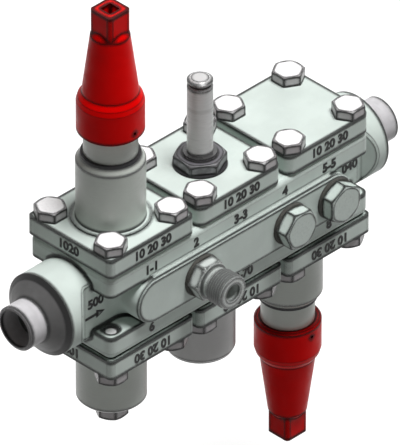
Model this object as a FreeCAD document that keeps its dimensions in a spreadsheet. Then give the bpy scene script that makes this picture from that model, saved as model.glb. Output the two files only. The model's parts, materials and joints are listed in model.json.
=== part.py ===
import FreeCAD, Part
import os
import re
import Sketcher
from math import pi, radians

# Valve station: a cast housing with three station axes, a function module above and below each,
# side ports on the front and a weld end for the pipe at each side.
# The frame: origin at the middle of the inlet's weld face, +X along the flow, -Y the side with
# the ports, +Z up. All sizes in millimetres.

SIZES = [
    ("first_station", 75, "weld face to the nearest station axis"),
    ("station_pitch", 70, "distance between station axes"),
    ("flow_bore", 11.15, "radius of the bore at the weld ends"),
    ("fit_gap", 0.05, "radial gap of turned fits"),
    # weld ends
    ("stub_radius", 13.45, "outside radius of the pipe stub"),
    ("stub_length", 12.9, "length of the pipe stub"),
    ("weld_bevel", 1.4, "width of the bevel for the weld"),
    ("bevel_angle", 60, "degrees between the bevel and the weld face"),
    ("cone_length", 7.1, "length of the cone behind the stub"),
    ("root_radius", 15, "radius of the weld end's spigot"),
    ("root_length", 5, "length of the weld end's spigot"),
    # housing
    ("boss_radius", 25, "radius of the cast pipe boss"),
    ("flange_start", 42.6, "weld face to the end of the flanges"),
    ("flange_half", 32.2, "half width of the flanges"),
    ("flange_corner", 5, "radius of the flanges' corners"),
    ("flange_face", 27.8, "height of the flange face over the pipe axis"),
    ("flange_inner", 14, "height of the flange's inner side"),
    ("flange_round", 3.8, "rounding of the flange face's edge"),
    ("waist_half", 17.3, "half width of the waist"),
    ("waist_plane", 53.5, "place of the slanted end wall of the waist"),
    ("waist_fillet", 6, "fillet between the waist and the port rail's round ends"),
    ("pocket_fillet", 3, "fillet between the waist and its slanted end wall"),
    ("edge_round", 1.6, "rounding of the boss's curved edges"),
    ("rail_face", 36, "distance of the port rail's face from the pipe axis"),
    ("rail_fillet", 2.1, "fillet from the port rail to the flange"),
    ("rail_round", 1, "rounding of the port rail's edges"),
    ("chamber_radius", 16, "radius of the station chambers"),
    ("web_half", 5, "half thickness of the web that holds the seats"),
    ("seat_radius", 10, "radius of the hole in the web"),
    ("passage_radius", 9.5, "radius of the slanted passages"),
    ("passage_reach", 13, "distance of a passage's end from the station axis"),
    ("passage_rise", 14, "height of a passage's end"),
    ("entry_depth", 18, "length of the straight bore in the boss"),
    # covers and their bolts
    ("gasket_thick", 0.7, "thickness of a cover gasket"),
    ("gasket_radius", 27, "outside radius of a cover gasket"),
    ("cover_thick", 11.9, "thickness of a cover"),
    ("cover_half", 33, "half width of a stop, filter or check cover"),
    ("cover_corner", 3.3, "corner radius of those covers"),
    ("plain_half", 32.5, "half width of the solenoid and blank covers"),
    ("plain_corner", 5.5, "corner radius of those covers"),
    ("spigot_play", 0.5, "radial play of what a cover dips into the chamber"),
    ("spigot_depth", 4.5, "how far that spigot dips below the gasket's top"),
    ("bolt_offset", 23.7, "bolt to the station axis, along X and along Y"),
    ("corner_slope", 30, "degrees of the cone that trims the corners of a hexagon"),
    ("bolt_flats", 17, "width across flats of a bolt head"),
    ("bolt_turn", 30, "degrees from +X to a corner of the first bolt's head"),
    ("bolt_head", 6.4, "height of a bolt head"),
    ("bolt_length", 25, "length of a bolt under the head"),
    ("bolt_shank", 4.45, "radius of a bolt's thread"),
    ("bolt_hole", 5.5, "radius of the bolt holes in a cover"),
    ("tapped_depth", 14.6, "depth of the tapped holes"),
    # stop valve module
    ("ring_radius", 22.7, "radius of the raised ring on the cover"),
    ("ring_height", 0.8, "height of the raised ring"),
    ("bonnet_radius", 19.8, "outside radius of the bonnet"),
    ("bonnet_spigot", 17, "radius of the bonnet inside the cover"),
    ("bonnet_top", 82.6, "height of the bonnet's top"),
    ("bonnet_chamfer", 3.5, "height of the chamfer at its top"),
    ("collar_height", 1.6, "height of the ring at the gland's foot"),
    ("gland_radius", 15.4, "outside radius of the packing gland"),
    ("gland_shoulder", 1.6, "width of the bonnet's top face round the gland"),
    ("gland_root", 12, "radius of the gland inside the bonnet"),
    ("gland_depth", 13, "how far the gland reaches into the bonnet"),
    ("gland_top", 116, "height of the packing gland's top"),
    ("packing_height", 8, "height of the packing under the gland"),
    ("spindle_radius", 5, "radius of the spindle"),
    ("spindle_thread", 6, "radius of the spindle's thread"),
    ("thread_start", 22, "height where the spindle's thread starts"),
    ("thread_end", 53, "height where the spindle's thread ends"),
    ("spindle_top", 125, "height of the spindle's top"),
    ("square_height", 13, "height of the spindle's square"),
    ("square_side", 7, "side of the spindle's square"),
    ("disc_radius", 12, "radius of the valve discs"),
    ("disc_thick", 5, "thickness of the valve discs"),
    ("disc_boss", 8, "radius of the boss on a stop disc"),
    ("disc_inset", 1, "how far a stop disc's face stays inside the seat"),
    ("disc_height", 10, "height of a stop disc with its boss"),
    ("socket_depth", 7, "depth of the spindle's socket in the stop disc"),
    ("end_gap", 0.1, "gap left between faces that only touch in use"),
    # seal cap
    ("cap_rim", 99.1, "height of the seal cap's rim"),
    ("cap_radius", 19.25, "radius of the seal cap's barrel"),
    ("cap_edge", 1, "chamfer at the rim"),
    ("cap_lid", 1, "height of the barrel over the cap's seal"),
    ("shoulder_height", 6.4, "height of the cap's rounded shoulder"),
    ("knee_width", 0.72, "share of the shoulder's width left at its knee"),
    ("knee_height", 0.48, "share of the shoulder's height below its knee"),
    ("taper_foot", 16.1, "radius at the foot of the cap's taper"),
    ("taper_top", 162.5, "height of the taper's top"),
    ("taper_head", 11.2, "radius at the taper's top"),
    ("key_foot", 166, "height where the square key starts"),
    ("key_side", 16.3, "side of the cap's square key"),
    ("key_corner", 2.2, "corner radius of the square key"),
    ("key_top", 179.2, "height of the cap's top"),
    ("key_socket", 7.5, "side of the square socket in the cap's top"),
    ("key_socket_depth", 9, "depth of that socket"),
    ("cap_wall", 5, "wall of the cap round its cavity"),
    ("cavity_top", 156, "height of the cavity's top"),
    ("cap_seal_thick", 1.6, "thickness of the cap's seal"),
    ("vent_radius", 1, "radius of the cap's vent hole"),
    ("vent_rise", 5.4, "height of the vent hole over the cap's rim"),
    # filter module
    ("cup_radius", 20, "radius of the filter cup and check housing"),
    ("cup_bottom", 82, "distance of the filter cup's bottom from the pipe axis"),
    ("cup_cavity", 14, "radius of the cup's cavity"),
    ("cup_floor", 6, "thickness of the cup's bottom"),
    ("cup_chamfer", 1.5, "chamfer at the cup's bottom"),
    ("basket_radius", 12, "radius of the strainer basket"),
    ("basket_wall", 1, "wall of the strainer basket"),
    ("basket_length", 66, "length of the strainer basket"),
    ("slot_width", 4, "width of the basket's slots"),
    ("slot_end", 6, "solid band at each end of the basket"),
    ("mesh_wall", 0.4, "thickness of the strainer mesh"),
    ("drain_flats", 17, "width across flats of the drain plug"),
    ("drain_head", 11, "height of the drain plug's head"),
    ("drain_thread", 6.5, "radius of the drain plug's thread"),
    ("drain_washer_thick", 1.5, "thickness of the drain plug's washer"),
    # check module
    ("check_bottom", 83.5, "distance of the check housing's bottom from the pipe axis"),
    ("check_chamfer", 2, "height of its chamfer"),
    ("check_foot", 19, "radius of its bottom face"),
    ("guide_radius", 8, "radius of the check disc's guide bore"),
    ("guide_bottom", 60, "depth of that bore from the pipe axis"),
    ("check_stem", 38, "reach of the check disc's stem from the pipe axis"),
    ("check_taper", 2, "height of the taper between the check disc and its stem"),
    ("check_pocket", 5, "radius of the spring pocket in that stem"),
    ("check_pocket_start", 20, "distance of the pocket's floor from the pipe axis"),
    ("check_coil", 4.1, "mean radius of the check spring"),
    ("check_wire", 1.1, "wire of the check spring"),
    # solenoid module
    ("tube_radius", 7.4, "radius of the armature tube"),
    ("groove_drop", 2.4, "distance of the tube's groove from its top"),
    ("groove_width", 2, "width of that groove"),
    ("groove_radius", 5.5, "radius in the groove"),
    ("tube_top", 98.9, "height of the armature tube's top"),
    ("tube_crown", 5, "radius of the tube's flat top"),
    ("tube_chamfer", 1, "chamfer of the tube's edges"),
    ("tube_collar", 9.6, "radius of the tube's threaded collar"),
    ("collar_top", 49.6, "height of that collar's top"),
    ("tube_flange", 12.5, "radius of the tube's flange under the cover"),
    ("tube_flange_thick", 2.5, "thickness of that flange"),
    ("armature_radius", 5.5, "radius of the armature"),
    ("armature_base", 37, "height of the pilot orifice's rim"),
    ("armature_top", 70, "height of the armature's top"),
    ("armature_pocket", 3.4, "radius of the spring pocket in the armature"),
    ("armature_pocket_depth", 6, "depth of that pocket"),
    ("core_base", 80, "height of the fixed core's lower face"),
    ("armature_coil", 2.4, "mean radius of the armature spring"),
    ("armature_wire", 0.8, "wire of the armature spring"),
    ("pilot_nose", 2.5, "radius of the pilot orifice's nose"),
    ("pilot_taper", 2, "height of the taper under that nose"),
    ("pilot_orifice", 1, "radius of the pilot orifice"),
    ("nut_flats", 27, "width across flats of the solenoid nut"),
    ("nut_turn", 24, "degrees from +X to a corner of that nut"),
    ("nut_corner", 15.4, "radius that the nut's corners are turned to"),
    ("nut_face", 13.1, "radius of the nut's top face"),
    ("nut_top", 47.8, "height of the nut's top"),
    ("nut_washer", 1, "thickness of the washer under the nut"),
    ("piston_radius", 11, "radius of the piston's bore"),
    ("piston_low", 14, "height of the piston head's lower face"),
    ("piston_high", 21, "height of the piston head's upper face"),
    ("piston_sleeve", 16, "height of the lower end of the piston's sleeve"),
    ("piston_stem", 5, "radius of the piston's stem"),
    ("piston_disc", 3, "thickness of the piston's disc"),
    ("piston_pocket", 7, "radius of the piston's spring pocket"),
    ("piston_pocket_depth", 4, "depth of that pocket"),
    ("piston_coil", 5.5, "mean radius of the piston spring"),
    ("piston_wire", 1.2, "wire of the piston spring"),
    # side ports
    ("port_radius", 10.5, "radius of a tapped port"),
    ("port_depth", 15, "depth of a tapped port"),
    ("port_drill", 4, "radius of the drilling behind a port"),
    ("port_drill_end", 8, "distance of the drilling's end from the pipe axis"),
    ("port_washer", 2, "thickness of a port's washer"),
    ("port_washer_radius", 12.6, "radius of a port's washer"),
    ("plug_flats", 22, "width across flats of a plug"),
    ("plug_head", 8, "height of a plug's head"),
    ("plug_face", 10.7, "radius of a plug's face"),
    ("plug_reach", 12, "length of a plug's thread"),
    ("middle_plug_turn", 53, "degrees from +X to a corner of the plug in port 4"),
    ("outlet_plug_turn", 30, "degrees from +X to a corner of the plug in port 5"),
    ("connector_turn", 30, "degrees from +X to a corner of the connector's hexagon"),
    ("connector_head", 7.5, "height of the connector's hexagon"),
    ("connector_collar", 9.3, "radius of the connector's neck"),
    ("connector_neck", 5.2, "length of the connector's neck"),
    ("connector_thread", 10.5, "radius of the connector's thread"),
    ("connector_length", 10.6, "length of the connector's thread"),
    ("connector_chamfer", 1, "chamfer at the connector's end"),
    ("connector_bore", 5.3, "radius of the connector's bore"),
]

COVER_UNDER = "(flange_face + gasket_thick)"
COVER_TOP = "(flange_face + gasket_thick + cover_thick)"
HALF_LENGTH = "(first_station + station_pitch)"
RING_TOP = "(flange_face + gasket_thick + cover_thick + ring_height)"
SPIGOT_RADIUS = "(chamber_radius - spigot_play)"
SPIGOT_END = "(flange_face + gasket_thick - spigot_depth)"
BOSS_START = "(stub_length + cone_length)"
SHOULDER = "(gland_radius + gland_shoulder)"
CAP_BARREL = "(gland_top + cap_seal_thick + cap_lid)"
PORTS = {
    2: "(first_station + 0.5 * station_pitch)",
    4: "(first_station + 1.5 * station_pitch)",
    5: "(first_station + 2 * station_pitch)",
}
BEYOND_CORNERS = 0.7  # share of the width across flats that clears the corners
TOUCH = 1e-4

VECTOR = FreeCAD.Vector
NAME = re.compile(r"\b[a-z]+(?:_[a-z]+)+\b")

doc = FreeCAD.newDocument("ValveStation")
sheet = doc.addObject("Spreadsheet::Sheet", "Sizes")
for row, (alias, number, meaning) in enumerate(SIZES, start=1):
    sheet.set(f"A{row}", meaning)
    sheet.set(f"B{row}", str(number))
    sheet.setAlias(f"B{row}", alias)
doc.recompute()


def formula(text):
    """The text with each size's name turned into its cell in the sheet."""
    return NAME.sub(lambda found: "Sizes." + found.group(0), str(text))


def value(text):
    return float(sheet.evalExpression(formula(text)))


def bind(thing, prop, text):
    thing.setExpression(prop, formula(text))


def datum(body, role):
    return next(f for f in body.Origin.OriginFeatures if f.Role == role)


def new_body(label):
    body = doc.addObject("PartDesign::Body", label)
    body.Label = label
    return body


def new_sketch(body, name, role, height=None):
    """An empty sketch on one of the body's own planes, lifted along the plane's normal."""
    sketch = body.newObject("Sketcher::SketchObject", name)
    sketch.AttachmentSupport = (datum(body, role), [""])
    sketch.MapMode = "FlatFace"
    if height is not None:
        bind(sketch, "AttachmentOffset.Base.z", height)
    return sketch


def pin_point(sketch, edge, end, x, y=None):
    """Holds one end (or, as end 3, the centre) of an edge at x and y from the origin."""
    for kind, text in (("DistanceX", x), ("DistanceY", y)):
        if text is None:
            continue
        rule = Sketcher.Constraint(kind, -1, 1, edge, end, value(text))
        bind(sketch, f"Constraints[{sketch.addConstraint(rule)}]", text)


def draw_outline(sketch, corners):
    """A closed outline with straight sides through corners, each a pair of sizes."""
    spots = [VECTOR(value(x), value(y), 0) for x, y in corners]
    sides = []
    for start, end in zip(spots, spots[1:] + spots[:1]):
        sides.append(sketch.addGeometry(Part.LineSegment(start, end), False))
    for side, following in zip(sides, sides[1:] + sides[:1]):
        sketch.addConstraint(Sketcher.Constraint("Coincident", side, 2, following, 1))
    for side, (x, y) in zip(sides, corners):
        pin_point(sketch, side, 1, x, y)


def draw_rounded(sketch, half_x, half_y, corner):
    """A rectangle about the origin with its corners rounded."""
    flat_x = f"({half_x} - {corner})"
    flat_y = f"({half_y} - {corner})"
    sides = [
        ((f"-{flat_x}", f"-({half_y})"), (flat_x, f"-({half_y})")),
        ((half_x, f"-{flat_y}"), (half_x, flat_y)),
        ((flat_x, half_y), (f"-{flat_x}", half_y)),
        ((f"-({half_x})", flat_y), (f"-({half_x})", f"-{flat_y}")),
    ]
    lines = []
    for start, end in sides:
        spots = [VECTOR(value(x), value(y), 0) for x, y in (start, end)]
        line = sketch.addGeometry(Part.LineSegment(*spots), False)
        pin_point(sketch, line, 1, *start)
        pin_point(sketch, line, 2, *end)
        lines.append(line)
    centres = ((1, -1), (1, 1), (-1, 1), (-1, -1))
    for k, (side_x, side_y) in enumerate(centres):
        centre = VECTOR(side_x * value(flat_x), side_y * value(flat_y), 0)
        circle = Part.Circle(centre, VECTOR(0, 0, 1), value(corner))
        start = radians(90 * k - 90)
        arc = sketch.addGeometry(Part.ArcOfCircle(circle, start, start + pi / 2), False)
        sketch.addConstraint(Sketcher.Constraint("Coincident", lines[k], 2, arc, 1))
        sketch.addConstraint(Sketcher.Constraint("Coincident", arc, 2, lines[(k + 1) % 4], 1))
        rule = sketch.addConstraint(Sketcher.Constraint("Radius", arc, value(corner)))
        bind(sketch, f"Constraints[{rule}]", corner)


def draw_circle(sketch, radius, x="0", y="0"):
    circle = Part.Circle(VECTOR(value(x), value(y), 0), VECTOR(0, 0, 1), value(radius))
    edge = sketch.addGeometry(circle, False)
    rule = sketch.addConstraint(Sketcher.Constraint("Radius", edge, value(radius)))
    bind(sketch, f"Constraints[{rule}]", radius)
    pin_point(sketch, edge, 3, x, y)


def hexagon(flats, turn="0"):
    """The corners of a hexagon, the first one turned by so many degrees from +X."""
    corners = []
    for angle in range(0, 360, 60):
        across = f"{flats} / sqrt(3)"
        corners.append((f"{across} * cos({turn} + {angle})", f"{across} * sin({turn} + {angle})"))
    return corners


def square(half_side):
    return [
        (f"-({half_side})", f"-({half_side})"),
        (half_side, f"-({half_side})"),
        (half_side, half_side),
        (f"-({half_side})", half_side),
    ]


def use(body, feature):
    body.Tip = feature
    return feature


def revolve(body, corners, name="turned", kind="PartDesign::Revolution"):
    """A turned form: corners are (radius, height) pairs and the axis is the body's own Z."""
    sketch = new_sketch(body, f"{body.Label}_{name}_profile", "XZ_Plane")
    draw_outline(sketch, corners)
    turned = body.newObject(kind, f"{body.Label}_{name}")
    turned.Profile = sketch
    turned.ReferenceAxis = (datum(body, "Z_Axis"), [""])
    turned.Angle = 360
    return use(body, turned)


def extrude(body, sketch, length, name, kind="PartDesign::Pad", reverse=False, both_ways=False):
    feature = body.newObject(kind, f"{body.Label}_{name}")
    feature.Profile = sketch
    bind(feature, "Length", length)
    feature.Reversed = reverse
    feature.Midplane = both_ways
    return use(body, feature)


def edges_of(feature, wanted):
    """Names of the edges whose shape passes the test."""
    doc.recompute()
    return [f"Edge{n}" for n, edge in enumerate(feature.Shape.Edges, start=1) if wanted(edge)]


def round_edges(body, feature, wanted, radius, name):
    fillet = body.newObject("PartDesign::Fillet", f"{body.Label}_{name}")
    fillet.Base = (feature, edges_of(feature, wanted))
    bind(fillet, "Radius", radius)
    return use(body, fillet)


def lies_at(edge, **distances):
    """Whether all of an edge lies at these distances from the middle planes across x, y or z."""
    box = edge.BoundBox
    spans = {"x": (box.XMin, box.XMax), "y": (box.YMin, box.YMax), "z": (box.ZMin, box.ZMax)}
    for axis, text in distances.items():
        low, high = spans[axis]
        if high - low > TOUCH or abs(abs(low) - value(text)) > TOUCH:
            return False
    return True


def is_curve(edge, kind):
    return type(edge.Curve).__name__ == kind


def turn_corners(body, flats, face_radius, top):
    """Turns a hexagon's corners down to a cone at its outer face."""
    far = f"({flats} * {BEYOND_CORNERS})"
    low = f"({top} - ({far} - {face_radius}) * tan(corner_slope))"
    revolve(body, [(face_radius, top), (far, low), (far, top)], "corners", "PartDesign::Groove")


def place(thing, station, below=False):
    """Sets a module's piece on its station, right side up or hanging under the housing."""
    if below:
        thing.Placement = FreeCAD.Placement(VECTOR(), FreeCAD.Rotation(VECTOR(0, 1, 0), 180))
    bind(thing, "Placement.Base.x", f"first_station + {station} * station_pitch")


def turned_piece(label, corners):
    body = new_body(label)
    revolve(body, corners)
    return body


def weld_ends():
    """Pipe stubs with a bevel for the weld, a cone and a spigot that sits in the boss."""
    cone_end = BOSS_START
    root_end = f"({BOSS_START} + root_length)"
    profile = [
        ("flow_bore", "0"),
        ("stub_radius - weld_bevel", "0"),
        ("stub_radius", "weld_bevel / tan(bevel_angle)"),
        ("stub_radius", "stub_length"),
        ("boss_radius", cone_end),
        ("root_radius", cone_end),
        ("root_radius", root_end),
        ("flow_bore", root_end),
    ]
    for label, angle, base in (
        ("inlet_weld_end", 90, "0"),
        ("outlet_weld_end", -90, f"2 * {HALF_LENGTH}"),
    ):
        piece = turned_piece(label, profile)
        piece.Placement = FreeCAD.Placement(VECTOR(), FreeCAD.Rotation(VECTOR(0, 1, 0), angle))
        bind(piece, "Placement.Base.x", base)


def cylinder(name, radius, height):
    tool = doc.addObject("Part::Cylinder", name)
    bind(tool, "Radius", radius)
    bind(tool, "Height", height)
    return tool


def along_x(tool, start, angle=None):
    """Lays a cylinder along X from start, or slanted upwards by an angle."""
    tool.Placement = FreeCAD.Placement(VECTOR(), FreeCAD.Rotation(VECTOR(0, 1, 0), 90))
    bind(tool, "Placement.Base.x", start)
    if angle is not None:
        bind(tool, "Placement.Rotation.Angle", f"90 deg - {angle}")
    return tool


def casting():
    """The housing's outside and its station bores, about the middle of its length."""
    body = new_body("casting")

    boss_sketch = new_sketch(body, "boss_circle", "YZ_Plane")
    draw_circle(boss_sketch, "boss_radius")
    extrude(body, boss_sketch, f"2 * ({HALF_LENGTH} - {BOSS_START})", "boss", both_ways=True)

    # four pockets that narrow the boss to its waist, each with a slanted end wall
    pockets = new_sketch(body, "waist_plan", "XY_Plane")
    near = f"({HALF_LENGTH} - waist_plane)"
    outside = "(boss_radius + 1)"
    for sign_x in ("", "-"):
        for sign_y in ("", "-"):
            corners = [
                (f"{sign_x}({near} + waist_half)", f"{sign_y}waist_half"),
                (f"{sign_x}({near} + {outside})", f"{sign_y}{outside}"),
                (f"{sign_x}station_pitch", f"{sign_y}{outside}"),
                (f"{sign_x}station_pitch", f"{sign_y}waist_half"),
            ]
            draw_outline(pockets, corners)
    extrude(body, pockets, "2 * boss_radius + 2", "waist", "PartDesign::Pocket", both_ways=True)

    # the flanges above and below
    plan = new_sketch(body, "flange_plan", "XY_Plane", "flange_inner")
    end = f"({HALF_LENGTH} - flange_start)"
    draw_rounded(plan, end, "flange_half", "flange_corner")
    flange = extrude(body, plan, "flange_face - flange_inner", "flange")
    doc.recompute()
    mirrored = body.newObject("PartDesign::Mirrored", "lower_flange")
    mirrored.Originals = [flange]
    mirrored.MirrorPlane = (datum(body, "XY_Plane"), [""])
    use(body, mirrored)

    # the port rails in front and behind, with round ends on the outer station axes
    rail = new_sketch(body, "rail_outline", "XZ_Plane")
    reach = value("station_pitch")
    high = value("flange_inner")
    top = rail.addGeometry(Part.LineSegment(VECTOR(reach, high, 0), VECTOR(-reach, high, 0)), False)
    bottom = rail.addGeometry(Part.LineSegment(VECTOR(-reach, -high, 0), VECTOR(reach, -high, 0)), False)
    pin_point(rail, top, 1, "station_pitch", "flange_inner")
    pin_point(rail, top, 2, "-station_pitch", "flange_inner")
    pin_point(rail, bottom, 1, "-station_pitch", "-flange_inner")
    pin_point(rail, bottom, 2, "station_pitch", "-flange_inner")
    for side, before, after in ((1, bottom, top), (-1, top, bottom)):
        circle = Part.Circle(VECTOR(side * reach, 0, 0), VECTOR(0, 0, 1), high)
        start = -side * pi / 2
        end_arc = rail.addGeometry(Part.ArcOfCircle(circle, start, start + pi), False)
        rail.addConstraint(Sketcher.Constraint("Coincident", before, 2, end_arc, 1))
        rail.addConstraint(Sketcher.Constraint("Coincident", end_arc, 2, after, 1))
        pin_point(rail, end_arc, 3, f"{side} * station_pitch")
    extrude(body, rail, "2 * rail_face", "rail", both_ways=True)
    round_casting(body, f"({near} + waist_half)")
    return body


def round_casting(body, wall_foot):
    """The cast roundings, largest first: each one takes the edges that the last one left."""
    rounds = (
        ("flange_rims", "flange_round", lambda edge: lies_at(edge, z="flange_face")),
        (
            "rail_roots",
            "rail_fillet",
            lambda edge: lies_at(edge, y="flange_half", z="flange_inner")
            and edge.Length > value("station_pitch"),
        ),
        (
            "rail_end_roots",
            "waist_fillet",
            lambda edge: lies_at(edge, y="waist_half") and is_curve(edge, "Circle"),
        ),
        (
            "pocket_roots",
            "pocket_fillet",
            lambda edge: lies_at(edge, x=wall_foot, y="waist_half") and edge.Length > value("waist_half"),
        ),
        ("boss_edges", "edge_round", lambda edge: is_curve(edge, "Ellipse")),
        ("rail_rims", "rail_round", lambda edge: lies_at(edge, y="rail_face")),
    )
    for name, radius, wanted in rounds:
        round_edges(body, body.Tip, wanted, radius, name)


def housing():
    """The casting with its chambers, seats, slanted passages, tapped holes and ports."""
    outside = casting()
    tools = []
    for station in (-1, 0, 1):
        across = f"{station} * station_pitch"
        seat = cylinder(f"seat_hole_{station + 2}", "seat_radius", "2 * web_half + 2")
        bind(seat, "Placement.Base.x", across)
        bind(seat, "Placement.Base.z", "-web_half - 1")
        tools.append(seat)
        for side, turn in (("upper", 0), ("lower", 180)):
            over = FreeCAD.Placement(VECTOR(), FreeCAD.Rotation(VECTOR(1, 0, 0), turn))
            label = f"{side}_chamber_{station + 2}"
            chamber = cylinder(label, "chamber_radius", "flange_face - web_half + 1")
            chamber.Placement = over
            bind(chamber, "Placement.Base.x", across)
            bind(chamber, "Placement.Base.z", "web_half" if turn == 0 else "-web_half")
            tools.append(chamber)
            for corner, (x, y) in enumerate(square("bolt_offset")):
                label = f"{side}_tapped_{station + 2}_{corner}"
                hole = cylinder(label, "bolt_shank + fit_gap", "tapped_depth + 1")
                hole.Placement = over
                bind(hole, "Placement.Base.x", f"{across} + {x}")
                bind(hole, "Placement.Base.y", y)
                base = "flange_face - tapped_depth" if turn == 0 else "tapped_depth - flange_face"
                bind(hole, "Placement.Base.z", base)
                tools.append(hole)

    boss_end = f"({HALF_LENGTH} - {BOSS_START})"
    run = f"({HALF_LENGTH} - {BOSS_START} - entry_depth - station_pitch - passage_reach)"
    slope = f"atan(passage_rise / {run})"
    for name, side in (("entry", -1), ("exit", 1)):
        socket = cylinder(f"{name}_socket", "root_radius + fit_gap", "root_length")
        along_x(socket, f"-{boss_end}" if side < 0 else f"{boss_end} - root_length")
        bore = cylinder(f"{name}_bore", "flow_bore", "entry_depth")
        along_x(bore, f"-{boss_end}" if side < 0 else f"{boss_end} - entry_depth")
        elbow = doc.addObject("Part::Sphere", f"{name}_elbow")
        bind(elbow, "Radius", "flow_bore")
        bind(elbow, "Placement.Base.x", f"{side} * ({boss_end} - entry_depth)")
        length = f"sqrt({run} * {run} + passage_rise * passage_rise)"
        slant = cylinder(f"{name}_slant", "passage_radius", length)
        start = f"-({boss_end} - entry_depth)" if side < 0 else "station_pitch + passage_reach"
        along_x(slant, start, slope)
        if side > 0:
            bind(slant, "Placement.Base.z", "-passage_rise")
        tools += [socket, bore, elbow, slant]

    span = "(station_pitch - 2 * passage_reach)"
    for number, station in ((1, -1), (2, 0)):
        length = f"sqrt({span} * {span} + 4 * passage_rise * passage_rise)"
        link = cylinder(f"crossing_{number}", "passage_radius", length)
        along_x(link, f"{station} * station_pitch + passage_reach", f"atan(2 * passage_rise / {span})")
        bind(link, "Placement.Base.z", "-passage_rise")
        tools.append(link)

    for port, place_x in PORTS.items():
        for kind, radius, depth in (
            ("tapping", "port_radius + fit_gap", "port_depth"),
            ("drilling", "port_drill", "rail_face - port_drill_end"),
        ):
            tool = cylinder(f"port_{port}_{kind}", radius, depth)
            tool.Placement = FreeCAD.Placement(VECTOR(), FreeCAD.Rotation(VECTOR(1, 0, 0), -90))
            bind(tool, "Placement.Base.x", f"{place_x} - {HALF_LENGTH}")
            bind(tool, "Placement.Base.y", "-rail_face")
            tools.append(tool)

    cuts = doc.addObject("Part::MultiFuse", "housing_cuts")
    cuts.Shapes = tools
    node = doc.addObject("Part::Cut", "valve_housing")
    node.Label = "valve_housing"
    node.Base = outside
    node.Tool = cuts
    bind(node, "Placement.Base.x", HALF_LENGTH)


def cover(label, half, corner, bore, station, below, ring=False, sleeve=None):
    """A square cover plate with four bolt holes and a bore for its module."""
    body = new_body(label)
    plan = new_sketch(body, f"{label}_plan", "XY_Plane", COVER_UNDER)
    draw_rounded(plan, half, half, corner)
    extrude(body, plan, "cover_thick", "plate")
    if ring:
        raised = new_sketch(body, f"{label}_ring", "XY_Plane", COVER_TOP)
        draw_circle(raised, "ring_radius")
        extrude(body, raised, "ring_height", "raised")
    if sleeve:
        dip = new_sketch(body, f"{label}_dip", "XY_Plane", COVER_UNDER)
        draw_circle(dip, SPIGOT_RADIUS)
        extrude(body, dip, sleeve, "sleeve", reverse=True)
    holes = new_sketch(body, f"{label}_holes", "XY_Plane", f"{COVER_TOP} + 1")
    for x, y in square("bolt_offset"):
        draw_circle(holes, "bolt_hole", x, y)
    extrude(body, holes, "cover_thick + 2", "bolt_holes", "PartDesign::Pocket")
    if bore:
        revolve(body, bore, "bore", "PartDesign::Groove")
    place(body, station, below)
    return body


def gasket(label, station, below):
    piece = turned_piece(
        label,
        [
            ("chamber_radius", "flange_face"),
            ("gasket_radius", "flange_face"),
            ("gasket_radius", COVER_UNDER),
            ("chamber_radius", COVER_UNDER),
        ],
    )
    place(piece, station, below)


def master_bolt():
    """A hexagon bolt with its head's underside at height 0 and the shank pointing down."""
    body = new_body("cover_bolt")
    head = new_sketch(body, "bolt_hexagon", "XY_Plane")
    draw_outline(head, hexagon("bolt_flats", "bolt_turn"))
    extrude(body, head, "bolt_head", "head")
    turn_corners(body, "bolt_flats", "(bolt_flats / 2 - fit_gap)", "bolt_head")
    shank = new_sketch(body, "bolt_circle", "XY_Plane")
    draw_circle(shank, "bolt_shank")
    extrude(body, shank, "bolt_length", "shank", reverse=True)
    return body


def bolt_ring(label, bolt, station, below):
    """Four bolts round a station, each turned a quarter from the one before."""
    links = []
    for quarter in range(4):
        link = doc.addObject("App::Link", f"{label}_{quarter + 1}")
        link.LinkedObject = bolt
        link.LinkTransform = False
        link.Placement = FreeCAD.Placement(VECTOR(), FreeCAD.Rotation(VECTOR(0, 0, 1), 90 * quarter))
        bind(link, "Placement.Base.x", f"bolt_offset * sqrt(2) * cos({45 + 90 * quarter})")
        bind(link, "Placement.Base.y", f"bolt_offset * sqrt(2) * sin({45 + 90 * quarter})")
        bind(link, "Placement.Base.z", COVER_TOP)
        links.append(link)
    ring = doc.addObject("Part::Compound", label)
    ring.Label = label
    ring.Links = links
    place(ring, station, below)


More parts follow.
